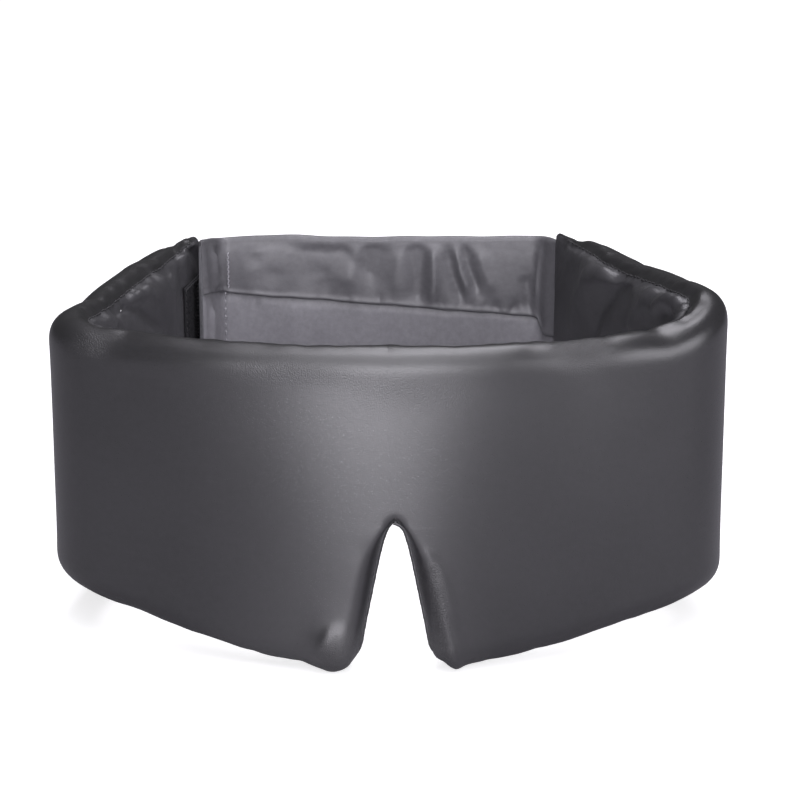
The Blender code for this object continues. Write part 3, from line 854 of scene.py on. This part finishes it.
def node(tree, kind, inputs=None, **settings):
    n = tree.nodes.new(kind)
    for k, v in settings.items():
        setattr(n, k, v)
    for k, v in (inputs or {}).items():
        if isinstance(v, bpy.types.NodeSocket):
            tree.links.new(v, n.inputs[k])
        else:
            n.inputs[k].default_value = v
    return n


def cloth_coordinates(tree, stretch):
    uv = node(tree, "ShaderNodeUVMap", uv_map="cloth")
    return node(tree, "ShaderNodeMapping", {"Vector": uv.outputs[0], "Scale": stretch}).outputs[0]


def noise(tree, vector, scale, detail=2.0, rough=0.5):
    values = {"Scale": scale, "Detail": detail, "Roughness": rough}
    if vector is not None:
        values["Vector"] = vector
    return node(tree, "ShaderNodeTexNoise", values).outputs["Fac"]


def ranged(tree, value, low, high, to_low, to_high):
    n = node(tree, "ShaderNodeMapRange", {0: value, 1: low, 2: high, 3: to_low, 4: to_high})
    return n.outputs[0]


def ramped(tree, value, first, second):
    n = node(tree, "ShaderNodeMix", {0: value}, data_type="RGBA")
    n.inputs[6].default_value = (*first, 1)
    n.inputs[7].default_value = (*second, 1)
    return n.outputs[2]


def bumped(tree, height, strength, distance, under=None):
    values = {"Height": height, "Strength": strength, "Distance": distance}
    if under is not None:
        values["Normal"] = under
    return node(tree, "ShaderNodeBump", values).outputs[0]


def scaled(colour, factor):
    return tuple(min(1.0, c * factor) for c in colour)


def satin(name, colour, rough, specular, grain=0.35):
    """Warp-faced satin: fine threads along the cloth, a speckle of tiny glints, a slow drift of tone."""
    m, tree, shader = material(name, colour, rough, specular=specular)
    threads = noise(tree, cloth_coordinates(tree, (700, 3600, 1)), 1.0, 1.0)
    speck = noise(tree, cloth_coordinates(tree, (2300, 2300, 1)), 1.0, 2.0, 0.7)
    mottle = noise(tree, cloth_coordinates(tree, (420, 420, 1)), 1.0, 3.0, 0.6)
    slow = noise(tree, cloth_coordinates(tree, (26, 26, 1)), 1.0, 2.0)
    tone = node(tree, "ShaderNodeMath", {0: slow, 1: mottle}, operation="ADD").outputs[0]
    shade = ranged(tree, tone, 0.7, 1.3, 0.0, 1.0)
    tone = ramped(tree, shade, scaled(colour, 0.84), scaled(colour, 1.16))
    tree.links.new(tone, shader.inputs["Base Color"])
    dull = ranged(tree, speck, 0.3, 0.7, rough - 0.07, rough + 0.07)
    glint = node(tree, "ShaderNodeAttribute", attribute_name="glint").outputs["Fac"]
    spread = node(tree, "ShaderNodeMath", {0: glint, 1: 0.20, 2: dull}, operation="MULTIPLY_ADD").outputs[0]
    tree.links.new(spread, shader.inputs["Roughness"])
    first = bumped(tree, threads, grain * 0.6, 0.00008)
    crush = noise(tree, cloth_coordinates(tree, (2500, 1900, 1)), 1.0, 1.5, 0.6)
    third = bumped(tree, crush, ranged(tree, glint, 0.0, 1.0, 0.0, 1.0), 0.00048, first)
    second = bumped(tree, speck, grain, 0.00010, third)
    tree.links.new(bumped(tree, mottle, grain * 0.5, 0.00016, second), shader.inputs["Normal"])
    return m


def fibrous(name, colour, rough, scale=900.0, sheen=0.3, depth=0.0002, specular=0.5):
    """Felted or brushed cloth, its fibres as a fine tangle."""
    m, tree, shader = material(name, colour, rough, sheen, specular)
    place = node(tree, "ShaderNodeTexCoord").outputs["Object"]
    tangle = noise(tree, place, scale, 4.0, 0.7)
    coarse = noise(tree, place, scale / 7, 3.0)
    tone = ramped(tree, tangle, scaled(colour, 0.6), scaled(colour, 1.35))
    tree.links.new(tone, shader.inputs["Base Color"])
    dull = ranged(tree, coarse, 0.3, 0.7, rough - 0.08, min(1.0, rough + 0.05))
    tree.links.new(dull, shader.inputs["Roughness"])
    tree.links.new(bumped(tree, tangle, 0.6, depth), shader.inputs["Normal"])
    return m


def woven(name, colour, rough, pitch=0.0006, sheen=0.1):
    """Plain weave, one thread over one under."""
    m, tree, shader = material(name, colour, rough, sheen)
    place = cloth_coordinates(tree, (1, 1, 1))
    waves = {"Vector": place, "Scale": 1 / pitch / 3.1416}
    over = node(tree, "ShaderNodeTexWave", waves, bands_direction="X").outputs["Fac"]
    under = node(tree, "ShaderNodeTexWave", waves, bands_direction="Y").outputs["Fac"]
    weave = node(tree, "ShaderNodeMath", {0: over, 1: under}, operation="MULTIPLY").outputs[0]
    tone = ramped(tree, weave, scaled(colour, 0.7), scaled(colour, 1.25))
    tree.links.new(tone, shader.inputs["Base Color"])
    tree.links.new(ranged(tree, weave, 0.0, 1.0, rough + 0.05, rough - 0.05), shader.inputs["Roughness"])
    tree.links.new(bumped(tree, weave, 0.5, 0.0001), shader.inputs["Normal"])
    return m


SATIN_GREY = (0.0185, 0.0181, 0.0197)
COVER = satin("satin_cover", SATIN_GREY, 0.34, 1.0)
# painted light: the lining, strap and panel are the cover's satin with lighter base colours, standing in for
# light on these inner faces
LINING = satin("satin_lining", (0.0400, 0.0392, 0.0430), 0.44, 1.0)
STRAP = satin("satin_strap", (0.112, 0.110, 0.119), 0.50, 1.0)
PANEL = satin("satin_panel", (0.245, 0.240, 0.258), 0.50, 0.8)
THREAD = fibrous("sewing_thread", (0.032, 0.031, 0.034), 0.6, 2600.0, 0.1, 0.00006)
PALE_THREAD = fibrous("topstitch_thread", (0.44, 0.43, 0.46), 0.5, 2600.0, 0.1, 0.00006)
FILL = fibrous("polyester_wadding", (0.78, 0.78, 0.76), 0.95, 500.0, 0.2, 0.0005)
FELT = fibrous("stiff_felt", (0.16, 0.16, 0.17), 0.95, 800.0, 0.2, 0.0002)
BLACKOUT = woven("blackout_weave", (0.012, 0.012, 0.014), 0.9)
LOOP_PILE = fibrous("loop_pile", (0.024, 0.0235, 0.026), 0.95, 1500.0, 0.0, 0.0001, 0.3)
HOOK_NYLON = fibrous("hook_nylon", (0.030, 0.030, 0.033), 0.45, 1800.0, 0.0, 0.00005)


def finish_piece(ob, mat, nodes, ride=None):
    ob.data.materials.clear()
    ob.data.materials.append(mat)
    ob.data.shade_smooth()
    if nodes:
        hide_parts(*nodes)
    if ride:
        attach(ob, ride)
    else:
        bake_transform(ob)
    return ob


WORD = {1: "right", -1: "left"}

# ---- padded body
pad = build_pad("pad")
inflate(pad)
refine(pad)
detail_pad(pad)
pad_mesh = pad.data
is_lining = face_numbers(pad_mesh, "is_lining")
half_of = face_numbers(pad_mesh, "half")
for side in (1, -1):
    wing = WORD[side] + "_wing"
    cover = skin("cover_" + WORD[side], pad_mesh, np.where((is_lining == 0) & (half_of == side))[0])
    finish_piece(cover, COVER, ["front_cover", wing + "_cover"])
    lining = skin("lining_" + WORD[side], pad_mesh, np.where((is_lining == 1) & (half_of == side))[0])
    finish_piece(lining, LINING, ["front_lining", wing + "_lining"])

# wadding inside the skins, one block each side of the nose
core = build_pad("core", step=0.006, inset=0.0032, short=0.014)
core_mesh = core.data
for side in (1, -1):
    bm = bmesh.new()
    bm.from_mesh(core_mesh)
    layer = bm.faces.layers.int["half"]
    bmesh.ops.delete(bm, geom=[f for f in bm.faces if f[layer] != side], context="FACES")
    for v in bm.verts:
        v.co.x += side * 0.0006
    bmesh.ops.holes_fill(bm, edges=[e for e in bm.edges if e.is_boundary], sides=0)
    bmesh.ops.triangulate(bm, faces=[f for f in bm.faces if len(f.verts) > 4])
    me = bpy.data.meshes.new("wadding_" + WORD[side])
    bm.to_mesh(me)
    bm.free()
    wadding = bpy.data.objects.new("wadding_" + WORD[side], me)
    bpy.context.scene.collection.objects.link(wadding)
    outward(wadding)
    nodes = ["front_wadding", WORD[side] + "_wing_wadding"]
    finish_piece(wadding, FILL, nodes)
bpy.data.objects.remove(core)


# ---- seams of the padded body
def stitches(line, normal, first, last, pitch, length, radius, lift):
    """Single stitches laid along a seam, each a short round thread dipping in at its ends."""
    run = length_along(line)
    parts = []
    p = first
    while p + length < run[-1] - last:
        t = np.linspace(p, p + length, 6)
        pts = along_line(t, run, line)
        nor = along_line(t, run, normal)
        hump = np.sin(np.linspace(0, pi, 6))[:, None]
        parts.append(tube(pts + nor * (lift - radius * 0.8 + hump * radius * 1.2), radius, 6))
        p += pitch
    return parts


for key, name, nearest in (("top", "top_seam", 0.0005), ("low", "bottom_seam", 0.0135)):
    points, normals, lengths = seam_line(pad_mesh, key)
    for side in (1, -1):
        here = lengths * side > nearest
        here &= np.abs(lengths) < LENGTH[side] - 0.006
        line, normal = points[here], normals[here]
        if side < 0:
            line, normal = line[::-1], normal[::-1]
        parts = stitches(line, normal, 0.0008, 0.001, 0.0034, 0.0027, 0.00022, 0.0003)
        seam = gathered(name + "_" + WORD[side], parts)
        wing = WORD[side] + "_wing"
        nodes = ["front_top_seam", wing + "_top_seam"] if key == "top" else \
            ["front_bottom_seam_" + WORD[side], wing + "_bottom_seam"]
        finish_piece(seam, THREAD, nodes)


def flank_line(me, side):
    """The line where cover and lining meet down one flank of the notch, then round under the lobe."""
    co, s, low, pin = coords(me), fetch(me, "s"), fetch(me, "low"), fetch(me, "pin")
    flank = (np.abs(s) < 1e-6) & (pin > 0.99) & (co[:, 2] < APEX_Z + 1e-4) & (co[:, 0] * side > 0)
    flank = np.where(flank)[0]
    flank = flank[np.argsort(-co[flank, 2])]
    points, _, lengths = seam_line(me, "low")
    under = (lengths * side > 0.0002) & (np.abs(lengths) < 0.016)
    lobe = points[under]
    return np.concatenate([co[flank], lobe if side > 0 else lobe[::-1]])


def resampled(line, step):
    run = length_along(line)
    t = np.linspace(0, run[-1], int(run[-1] / step) + 1)
    return along_line(t, run, line), t


PIPING_R = 0.00075
PIPING_SMOOTHING = 14
rim, along = resampled(np.concatenate([flank_line(pad_mesh, -1)[::-1], flank_line(pad_mesh, 1)]), 0.0007)
for _ in range(PIPING_SMOOTHING):
    rim[1:-1] = (rim[:-2] + 2 * rim[1:-1] + rim[2:]) / 4
ends = smooth(np.minimum(along, along[-1] - along) / 0.014)
radius = (PIPING_R + 0.00006 * np.sin(along * 1900) * np.sin(along * 700)) * (0.25 + 0.75 * ends)
piping = gathered("notch_piping", [tube(rim + [0, -0.0005, 0], radius, 12)])
finish_piece(piping, COVER, ["nose_notch_piping"], ride="front")
bpy.data.objects.remove(pad)

# ---- blackout cloth inside the front
for side in (1, -1):
    cols = np.linspace(0.009, MITRE[side] - 0.006, 44)
    rows = [row for row in ROWS if row[0] in ("up", "down") and row[1] < 0]
    grid = np.stack([place_row(side * cols, row, 0.0027) for row in rows])
    faces = grid_faces(len(rows), len(cols))
    blackout = new_object("blackout_sheet_" + WORD[side], grid.reshape(-1, 3), faces.tolist())
    layer = blackout.data.uv_layers.new(name="cloth")
    spot = coords(blackout.data)[faces.ravel()][:, [0, 2]]
    layer.data.foreach_set("uv", spot.astype(np.float32).ravel())
    solid = blackout.modifiers.new("Thickness", "SOLIDIFY")
    solid.thickness = 0.0004
    applied(blackout)
    finish_piece(blackout, BLACKOUT, ["blackout_layer_" + WORD[side]], ride="front")

# ---- the strap
TAB_HALF = TAB_T / 2
FLAP = 0.0012               # how far the upper panel laps over the lower one
RIM = 0.0009                # how far the outer panel turns over the strap's edges
SKIN = 0.0005


def strap_half(q):
    """Half thickness: thin where it is sewn into the wing, thin again on the tab, closing at its tip."""
    h = mix(0.0007, BAND_HALF, smooth((q - 0.0015) / 0.007))
    h = mix(h, TAB_HALF, smooth((q - (Q_FOLD - 0.003)) / 0.012))
    close = np.clip((Q_END - q) / 0.0022, 0, 1)
    return h * np.sqrt(np.clip(1 - (1 - close) ** 2, 0.05, 1))


# folds of the strap's panels, in length along the strap and height
UPPER_FOLDS = (
    ([(0.0574, 0.047), (0.0570, 0.034), (0.0572, 0.022)], 0.0022, 0.0020),
    ([(0.0640, 0.047), (0.0632, 0.033), (0.0630, 0.022)], 0.0032, -0.0024),
    ([(0.0520, 0.045), (0.0495, 0.034), (0.0452, 0.023)], 0.0020, -0.0022),
    ([(0.0488, 0.046), (0.0464, 0.036), (0.0425, 0.026)], 0.0016, 0.0014),
    ([(0.0456, 0.046), (0.0432, 0.037), (0.0390, 0.027)], 0.0018, -0.0020),
    ([(0.0400, 0.045), (0.0370, 0.036), (0.0330, 0.027)], 0.0022, 0.0008),
    ([(0.0215, 0.036), (0.0202, 0.028), (0.0200, 0.020)], 0.0024, -0.0012),
    ([(0.0135, 0.048), (0.0150, 0.036), (0.0155, 0.024)], 0.0024, 0.0009),
    ([(0.0700, 0.045), (0.0710, 0.036), (0.0715, 0.026)], 0.0030, 0.0006),
    ([(0.0880, 0.030), (0.0980, 0.036), (0.1060, 0.044)], 0.0050, 0.0006),
    ([(0.1120, 0.031), (0.1230, 0.035), (0.1290, 0.043)], 0.0040, -0.0005),
    ([(0.1580, 0.047), (0.1590, 0.038), (0.1575, 0.029)], 0.0030, 0.0042),
    ([(0.1470, 0.046), (0.1490, 0.038), (0.1480, 0.029)], 0.0030, -0.0024),
)


def upper_folds(q, z, line):
    f = folded(q, z, UPPER_FOLDS)
    rng = np.random.default_rng(5)
    f += puckers(q, z - line, 0.010, 0.054, 0.0042, 0.0009, 0.005, 0.0011, 0.5, rng)
    f += puckers(q, z - line, 0.060, 0.135, 0.0070, 0.0004, 0.004, 0.0013, 0.5, rng)
    f += puckers(q, 0.0475 - z, 0.008, 0.135, 0.0085, 0.0004, 0.003, 0.0011, 0.5, rng)
    return f


LOWER_FOLDS = (
    ([(0.1130, 0.024), (0.1120, 0.012), (0.1100, -0.002)], 0.0060, 0.0007),
    ([(0.1600, 0.026), (0.1610, 0.018), (0.1610, 0.004)], 0.0028, 0.0036),
    ([(0.1500, 0.026), (0.1510, 0.018), (0.1510, 0.006)], 0.0026, -0.0008),
    ([(0.0180, 0.018), (0.0190, 0.006), (0.0180, -0.006)], 0.0030, 0.0008),
)


def lower_folds(q, z, line):
    f = folded(q, z, LOWER_FOLDS)
    rng = np.random.default_rng(6)
    f += puckers(q, line - z, 0.083, 0.142, 0.0040, 0.0009, 0.006, 0.0012, 0.5, rng)
    f += puckers(q, line - z, 0.012, 0.083, 0.0080, 0.0004, 0.005, 0.0013, 0.5, rng)
    f += crumple(q, z, 10, (0.012, 0.135), -0.010, 0.014, 0.0050, 0.0003, 1.4, rng)
    return f


def outer_folds(q, z):
    rng = np.random.default_rng(8)
    f = crumple(q, z, 24, (0.010, Q_FOLD), -0.012, 0.046, 0.0045, 0.0007, 1.5, rng)
    f += puckers(q, 0.047 - z, 0.008, Q_FOLD, 0.0075, 0.0005, 0.005, 0.0013, 0.5, rng)
    f += puckers(q, z + 0.0160, 0.008, Q_FOLD, 0.0075, 0.0005, 0.005, 0.0013, 0.5, rng)
    return f


def body_of_panel(name, q, front_n, back_n, z, v):
    """A thin panel: its front face's points down the strap, then its back face's points up again."""
    n = np.concatenate([front_n, back_n[:, ::-1]], 1)
    zz = np.concatenate([z, z[:, ::-1]], 1)
    return sweep(name, q, n, zz, np.concatenate([v, v[::-1] + 0.1]))


def strap_outer(name, q):
    top, _ = strap_levels(q)
    top, h = top[:, None], strap_half(q)[:, None]
    bottom = top - STRAP_H
    turn = np.linspace(-pi / 2, pi / 2, 11)[None]
    run = np.linspace(0, 1, 56)[None, 1:-1]
    crown = 0.0008 * (1 - (2 * run - 1) ** 6) * np.clip(h / BAND_HALF, 0, 1)
    flat_z = mix(top - h, bottom + h, run)
    on_tab = smooth((q[:, None] - (Q_FOLD - 0.004)) / 0.008)
    folds = outer_folds(np.broadcast_to(q[:, None], flat_z.shape), flat_z)
    flat_n = h + crown * (1 - on_tab) + folds * (1 - on_tab)
    ring_n, ring_z = [], []
    for inset in (0.0, SKIN):
        r = h - np.minimum(inset, h * 0.5)
        lip = np.linspace(RIM, 0, 4)[None, :-1]
        flat_lip = -r + 0 * lip
        rolls = r * np.sin(turn), r * np.sin(-turn)
        ring_n.append(np.concatenate([flat_lip, rolls[0], flat_n - (h - r), rolls[1], flat_lip], 1))
        ring_z.append(np.concatenate([top - h - lip, top - h + r * np.cos(turn), flat_z,
                                      bottom + h - r * np.cos(turn), bottom + h + lip[:, ::-1]], 1))
    n = np.concatenate([ring_n[0], ring_n[1][:, ::-1]], 1)
    z = np.concatenate([ring_z[0], ring_z[1][:, ::-1]], 1)
    middle = len(q) // 2
    return sweep(name, q, n, z, length_along(np.stack([n[middle], z[middle]], 1)))


def strap_upper(name, q):
    top, line = strap_levels(q)
    top, line, h = top[:, None], line[:, None], strap_half(q)[:, None]
    t = np.linspace(0, 1, 40)[None]
    z = mix(top - h, line - FLAP, t)
    qq = np.broadcast_to(q[:, None], z.shape)
    room = np.clip(h / BAND_HALF, 0.3, 1)
    rise = 0.0018 * (1 - (1 - t) ** 2)
    lip = 0.0006 * np.exp(-((1 - t) / 0.06) ** 2)
    tuck = -0.0006 * np.clip((t - 0.985) / 0.015, 0, 1)
    folds = upper_folds(qq, z, line) * smooth(t / 0.16) * smooth((1 - t) / 0.05 + 0.35)
    rng = np.random.default_rng(9)
    folds += crumple(qq, z, 16, (0.066, 0.136), 0.030, 0.043, 0.0055, 0.0007, 1.2, rng) * smooth(t / 0.2)
    front = h + 0.0002 + (rise + lip + tuck) * room + np.clip(folds, -0.0018, 0.0042) * room
    front = np.maximum(front, h - 0.0001)
    turn = np.linspace(radians(24), pi / 2, 8)[None, :-1]
    roll = h + 0.0002
    front = np.concatenate([roll * np.sin(turn), front], 1)
    z = np.concatenate([top - h + roll * np.cos(turn), z], 1)
    back = front - SKIN * np.minimum(1.0, front / roll) * 0.8
    return body_of_panel(name, q, -front, -back, z, (top[0] + 0.001 - z[0]).ravel())


def strap_lower(name, q):
    top, line = strap_levels(q)
    top, line, h = top[:, None], line[:, None], strap_half(q)[:, None]
    t = np.linspace(0, 1, 40)[None]
    z = mix(line + 0.0012, top - STRAP_H + h + RIM - 0.0006, t)
    qq = np.broadcast_to(q[:, None], z.shape)
    room = np.clip(h / BAND_HALF, 0.3, 1)
    rise = smooth((t - 0.05) / 0.10) * smooth((1 - t) / 0.08) * 0.0009
    folds = lower_folds(qq, z, line) * smooth((t - 0.04) / 0.10) * smooth((1 - t) / 0.10)
    front = h - 0.0003 + rise * room + np.clip(folds, -0.0008, 0.0040) * room
    return body_of_panel(name, q, -front, -(front - SKIN), z, (top[0] - z[0]).ravel())


def strap_core(name, q):
    top, _ = strap_levels(q)
    top, h = top[:, None], strap_half(q)[:, None]
    a = np.linspace(0, 2 * pi, 44, endpoint=False)[None]
    squash_n = np.sign(np.sin(a)) * np.abs(np.sin(a)) ** 0.25
    reach = (STRAP_H - 0.004) / 2
    z = top - STRAP_H / 2 + reach * np.sign(np.cos(a)) * np.abs(np.cos(a)) ** 0.6
    return sweep(name, q, (h - 0.0009) * squash_n, z, np.linspace(0, 0.13, 44))


STEP = 0.0011
right_q = np.linspace(0.0006, Q_MID, int(Q_MID / STEP))
left_q = np.linspace(Q_MID, Q_END, int((Q_END - Q_MID) / STEP))
STRAP_PARTS = ((strap_outer, "strap_outer_", STRAP, "satin_strap", ["strap_outer_panel"]),
               (strap_upper, "strap_upper_", STRAP, "satin_strap", ["strap_inner_upper_panel"]),
               (strap_lower, "strap_lower_", PANEL, "satin_strap", ["strap_inner_lower_panel"]),
               (strap_core, "strap_core_", FELT, "interlining", ["strap_interlining"]))
for make, name, mat, slot_name, nodes in STRAP_PARTS:
    right = make(name + "right", right_q)
    left = make(name + "left", left_q)
    at_root = ["strap_root_band"] if make is strap_outer else []
    at_tab = ["tab_cover"] if make is strap_outer else []
    finish_piece(right, mat, nodes + at_root)
    finish_piece(left, mat, nodes + at_tab)


# ---- stitching on the strap's end
def on_strap(q, z, lift):
    """Points just proud of the strap's inner face."""
    q, z = np.asarray(q, float), np.asarray(z, float)
    return strap_at(q, -(strap_half(q) + lift), z)


def thread_run(corners, radius, lift):
    """One stitch per pair of corner points, arched over the cloth."""
    parts = []
    for (qa, za), (qb, zb) in corners:
        t = np.linspace(0, 1, 6)
        hump = np.sin(t * pi) * radius * 1.4
        parts.append(tube(on_strap(qa + (qb - qa) * t, za + (zb - za) * t, lift + hump), radius, 6))
    return parts


zig = []
for k in range(15):
    z = 0.0420 - k * 0.00095
    zig.append(((0.1374 + 0.0017 * (k % 2), z), (0.1374 + 0.0017 * ((k + 1) % 2), z - 0.00090)))
dash = [((0.1418, z), (0.1420, z - 0.0019)) for z in np.arange(0.0262, -0.0110, -0.0031)]
tab_stitches = gathered("tab_stitches", thread_run(zig, 0.00026, 0.0023) + thread_run(dash, 0.00028, 0.0016))
finish_piece(tab_stitches, PALE_THREAD, ["tab_stitching"], ride="tab")

# ---- hook and loop
hook_q = np.linspace(Q_END - 0.0205, Q_END - 0.0022, 18)
tape = TAB_HALF + 0.00005
zs = np.linspace(PATCH_TOP - 0.001, PATCH_BOTTOM + 0.001, 44)
face = np.stack([strap_at(np.full(44, q), tape + 0.00035, zs) for q in hook_q])
back = np.stack([strap_at(np.full(44, q), tape, zs) for q in hook_q])
rng = np.random.default_rng(21)


def plate(face, back):
    """A closed thin plate between two grids of points."""
    rows, cols = face.shape[:2]
    verts = np.concatenate([face.reshape(-1, 3), back.reshape(-1, 3)])
    quads = grid_faces(rows, cols)
    half = rows * cols
    edge = [(0, c) for c in range(cols)] + [(r, cols - 1) for r in range(1, rows)]
    edge += [(rows - 1, c) for c in range(cols - 2, -1, -1)] + [(r, 0) for r in range(rows - 2, 0, -1)]
    loop = [r * cols + c for r, c in edge]
    sides = [[a, b, b + half, a + half] for a, b in zip(loop, loop[1:] + loop[:1])]
    return verts, quads.tolist() + (quads[:, ::-1] + half).tolist() + sides


hooks = [plate(face, back)]
for q in np.arange(hook_q[0] + 0.0009, hook_q[-1] - 0.0005, 0.00125):
    for z in np.arange(PATCH_BOTTOM + 0.002, PATCH_TOP - 0.0015, 0.00135):
        z = z + rng.uniform(-0.0001, 0.0001)
        qs = np.array([q, q, q + 0.00022, q + 0.00050])
        ns = TAB_HALF + np.array([0.0003, 0.00080, 0.00112, 0.00092])
        hooks.append(tube(strap_at(qs, ns, np.full(4, z)), 0.00013, 4))
hook_patch = gathered("hook_patch_tape", hooks)
finish_piece(hook_patch, HOOK_NYLON, ["hook_patch"], ride="tab")


def on_left_wing(rear, z, lift):
    s = -(LENGTH[-1] - np.asarray(rear, float))
    return at(s, -(pad_half(s) + lift), z)


rears = np.linspace(0.0300, 0.0075, 24)
zs = np.linspace(PATCH_TOP, PATCH_BOTTOM, 48)
face = np.stack([on_left_wing(np.full(48, r), zs, 0.0006) for r in rears])
back = np.stack([on_left_wing(np.full(48, r), zs, 0.00015) for r in rears])
pile = [plate(face, back)]
PILE_LOOPS = 620
for _ in range(PILE_LOOPS):
    r, z = rng.uniform(0.0082, 0.0293), rng.uniform(PATCH_BOTTOM + 0.0008, PATCH_TOP - 0.0008)
    a = rng.uniform(0, 2 * pi)
    t = np.linspace(0, pi, 6)
    reach = rng.uniform(0.0003, 0.0007)
    dr, dz = -np.cos(t) * reach * cos(a), -np.cos(t) * reach * sin(a)
    lift = 0.00055 + np.sin(t) * rng.uniform(0.0002, 0.00045)
    pile.append(tube(on_left_wing(r + dr, z + dz, lift), 0.00006, 4))
loop_patch = gathered("loop_patch_tape", pile)
finish_piece(loop_patch, LOOP_PILE, ["loop_patch"], ride="left_wing")

border = []
along = np.linspace(0, 0.0018, 6)
arch = 0.0006 + 0.00025 * np.sin(np.linspace(0, pi, 6))
for z in np.arange(PATCH_TOP - 0.0008, PATCH_BOTTOM + 0.001, -0.0024):
    for r in (0.0289, 0.0085):
        border.append(tube(on_left_wing(np.full(6, r), z - along, arch), 0.0002, 6))
for r in np.arange(0.0282, 0.0105, -0.0024):
    for z in (PATCH_TOP - 0.0010, PATCH_BOTTOM + 0.0010):
        border.append(tube(on_left_wing(r - along, np.full(6, z), arch), 0.0002, 6))
patch_stitches = gathered("loop_patch_stitches", border)
finish_piece(patch_stitches, THREAD, ["loop_patch_stitching"], ride="left_wing")

# ---- floor, light and camera
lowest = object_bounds()[0].z
FLOOR_HALF = 6
floor_corners = [(x * FLOOR_HALF, y * FLOOR_HALF, lowest) for x, y in ((-1, -1), (1, -1), (1, 1), (-1, 1))]
floor = new_object("floor", floor_corners, [(0, 1, 2, 3)])
m, tree, shader = material("pale_floor", (0.90, 0.90, 0.90), 0.9)
bounce = node(tree, "ShaderNodeBsdfDiffuse")
place = node(tree, "ShaderNodeTexCoord").outputs["Object"]
paleness = ramped(tree, noise(tree, place, 3.0), (0.80, 0.80, 0.80), (0.82, 0.82, 0.82))
tree.links.new(paleness, shader.inputs["Base Color"])
near = node(tree, "ShaderNodeMapping", {"Vector": place, "Location": (0.22, 1.15, 0), "Scale": (11, 3.8, 1)})
spot = node(tree, "ShaderNodeTexGradient", {"Vector": near.outputs[0]}, gradient_type="SPHERICAL")
spot = spot.outputs["Fac"]
# only the light the floor throws back sees this colour: a painted pool of light, brighter just before the
# front, as from a white card
painted_bounce_pool = ramped(tree, ranged(tree, spot, 0.0, 0.6, 0.0, 1.0), (0.36, 0.355, 0.375), (0.98, 0.97, 1.0))
tree.links.new(painted_bounce_pool, bounce.inputs["Color"])
glow = node(tree, "ShaderNodeEmission", {"Color": (1, 1, 1, 1), "Strength": 0.66})
seen = node(tree, "ShaderNodeLightPath").outputs["Is Camera Ray"]
lift = node(tree, "ShaderNodeMixShader", {0: seen})
both = node(tree, "ShaderNodeAddShader", {0: shader.outputs[0], 1: glow.outputs[0]})
tree.links.new(bounce.outputs[0], lift.inputs[1])
tree.links.new(both.outputs[0], lift.inputs[2])
tree.links.new(lift.outputs[0], tree.nodes["Material Output"].inputs["Surface"])
floor.data.materials.append(m)

scene = bpy.context.scene
world = bpy.data.worlds.new("soft_room")
world.use_nodes = True
sky = world.node_tree.nodes["Background"]
sky.inputs[0].default_value = (1, 1, 1, 1)
seen = node(world.node_tree, "ShaderNodeLightPath").outputs["Is Camera Ray"]
SKY_LIGHT = 0.07
SKY_SEEN = 0.95
world.node_tree.links.new(ranged(world.node_tree, seen, 0, 1, SKY_LIGHT, SKY_SEEN), sky.inputs[1])
scene.world = world
scene.view_settings.view_transform = "Standard"


LIGHT = (0.955, 0.935, 1.0)


def area_light(name, place, target, width, height, watts):
    light = bpy.data.lights.new(name, "AREA")
    light.shape = "RECTANGLE"
    light.size, light.size_y = width, height
    light.energy = watts
    light.color = LIGHT
    ob = bpy.data.objects.new(name, light)
    scene.collection.objects.link(ob)
    ob.location = place
    ob.rotation_euler = (Vector(target) - Vector(place)).to_track_quat("-Z", "Y").to_euler()


area_light("top_softbox", (0.14, 0.50, 2.0), (0.06, 0, 0), 0.8, 2.0, 23)
area_light("key_softbox", (-0.15, -1.95, 0.46), (0, -0.10, 0.05), 1.02, 1.15, 28.5)
area_light("high_softbox", (0.0, -0.95, 1.75), (0, -0.05, 0.03), 1.15, 2.1, 22)
area_light("right_fill", (1.9, -1.2, 0.7), (0, -0.05, 0.0), 1.7, 1.4, 24)

LENS = 116.55
ELEVATION = radians(15.5)
DISTANCE = 0.94
AIM_RIGHT = 0.00444         # tangents of the small turns that centre the mask as in the photo
AIM_DOWN = 0.009653
camera = bpy.data.objects.new("camera", bpy.data.cameras.new("camera"))
scene.collection.objects.link(camera)
camera.data.sensor_width = 36
camera.data.lens = LENS
forward = Vector((0, cos(ELEVATION), -sin(ELEVATION)))
upward = Vector((0, sin(ELEVATION), cos(ELEVATION)))
camera.location = Vector((0, 0, 0.0145)) - forward * DISTANCE
aim = forward + Vector((1, 0, 0)) * AIM_RIGHT - upward * AIM_DOWN
camera.rotation_mode = "QUATERNION"
camera.rotation_quaternion = aim.to_track_quat("-Z", "Y")
scene.camera = camera
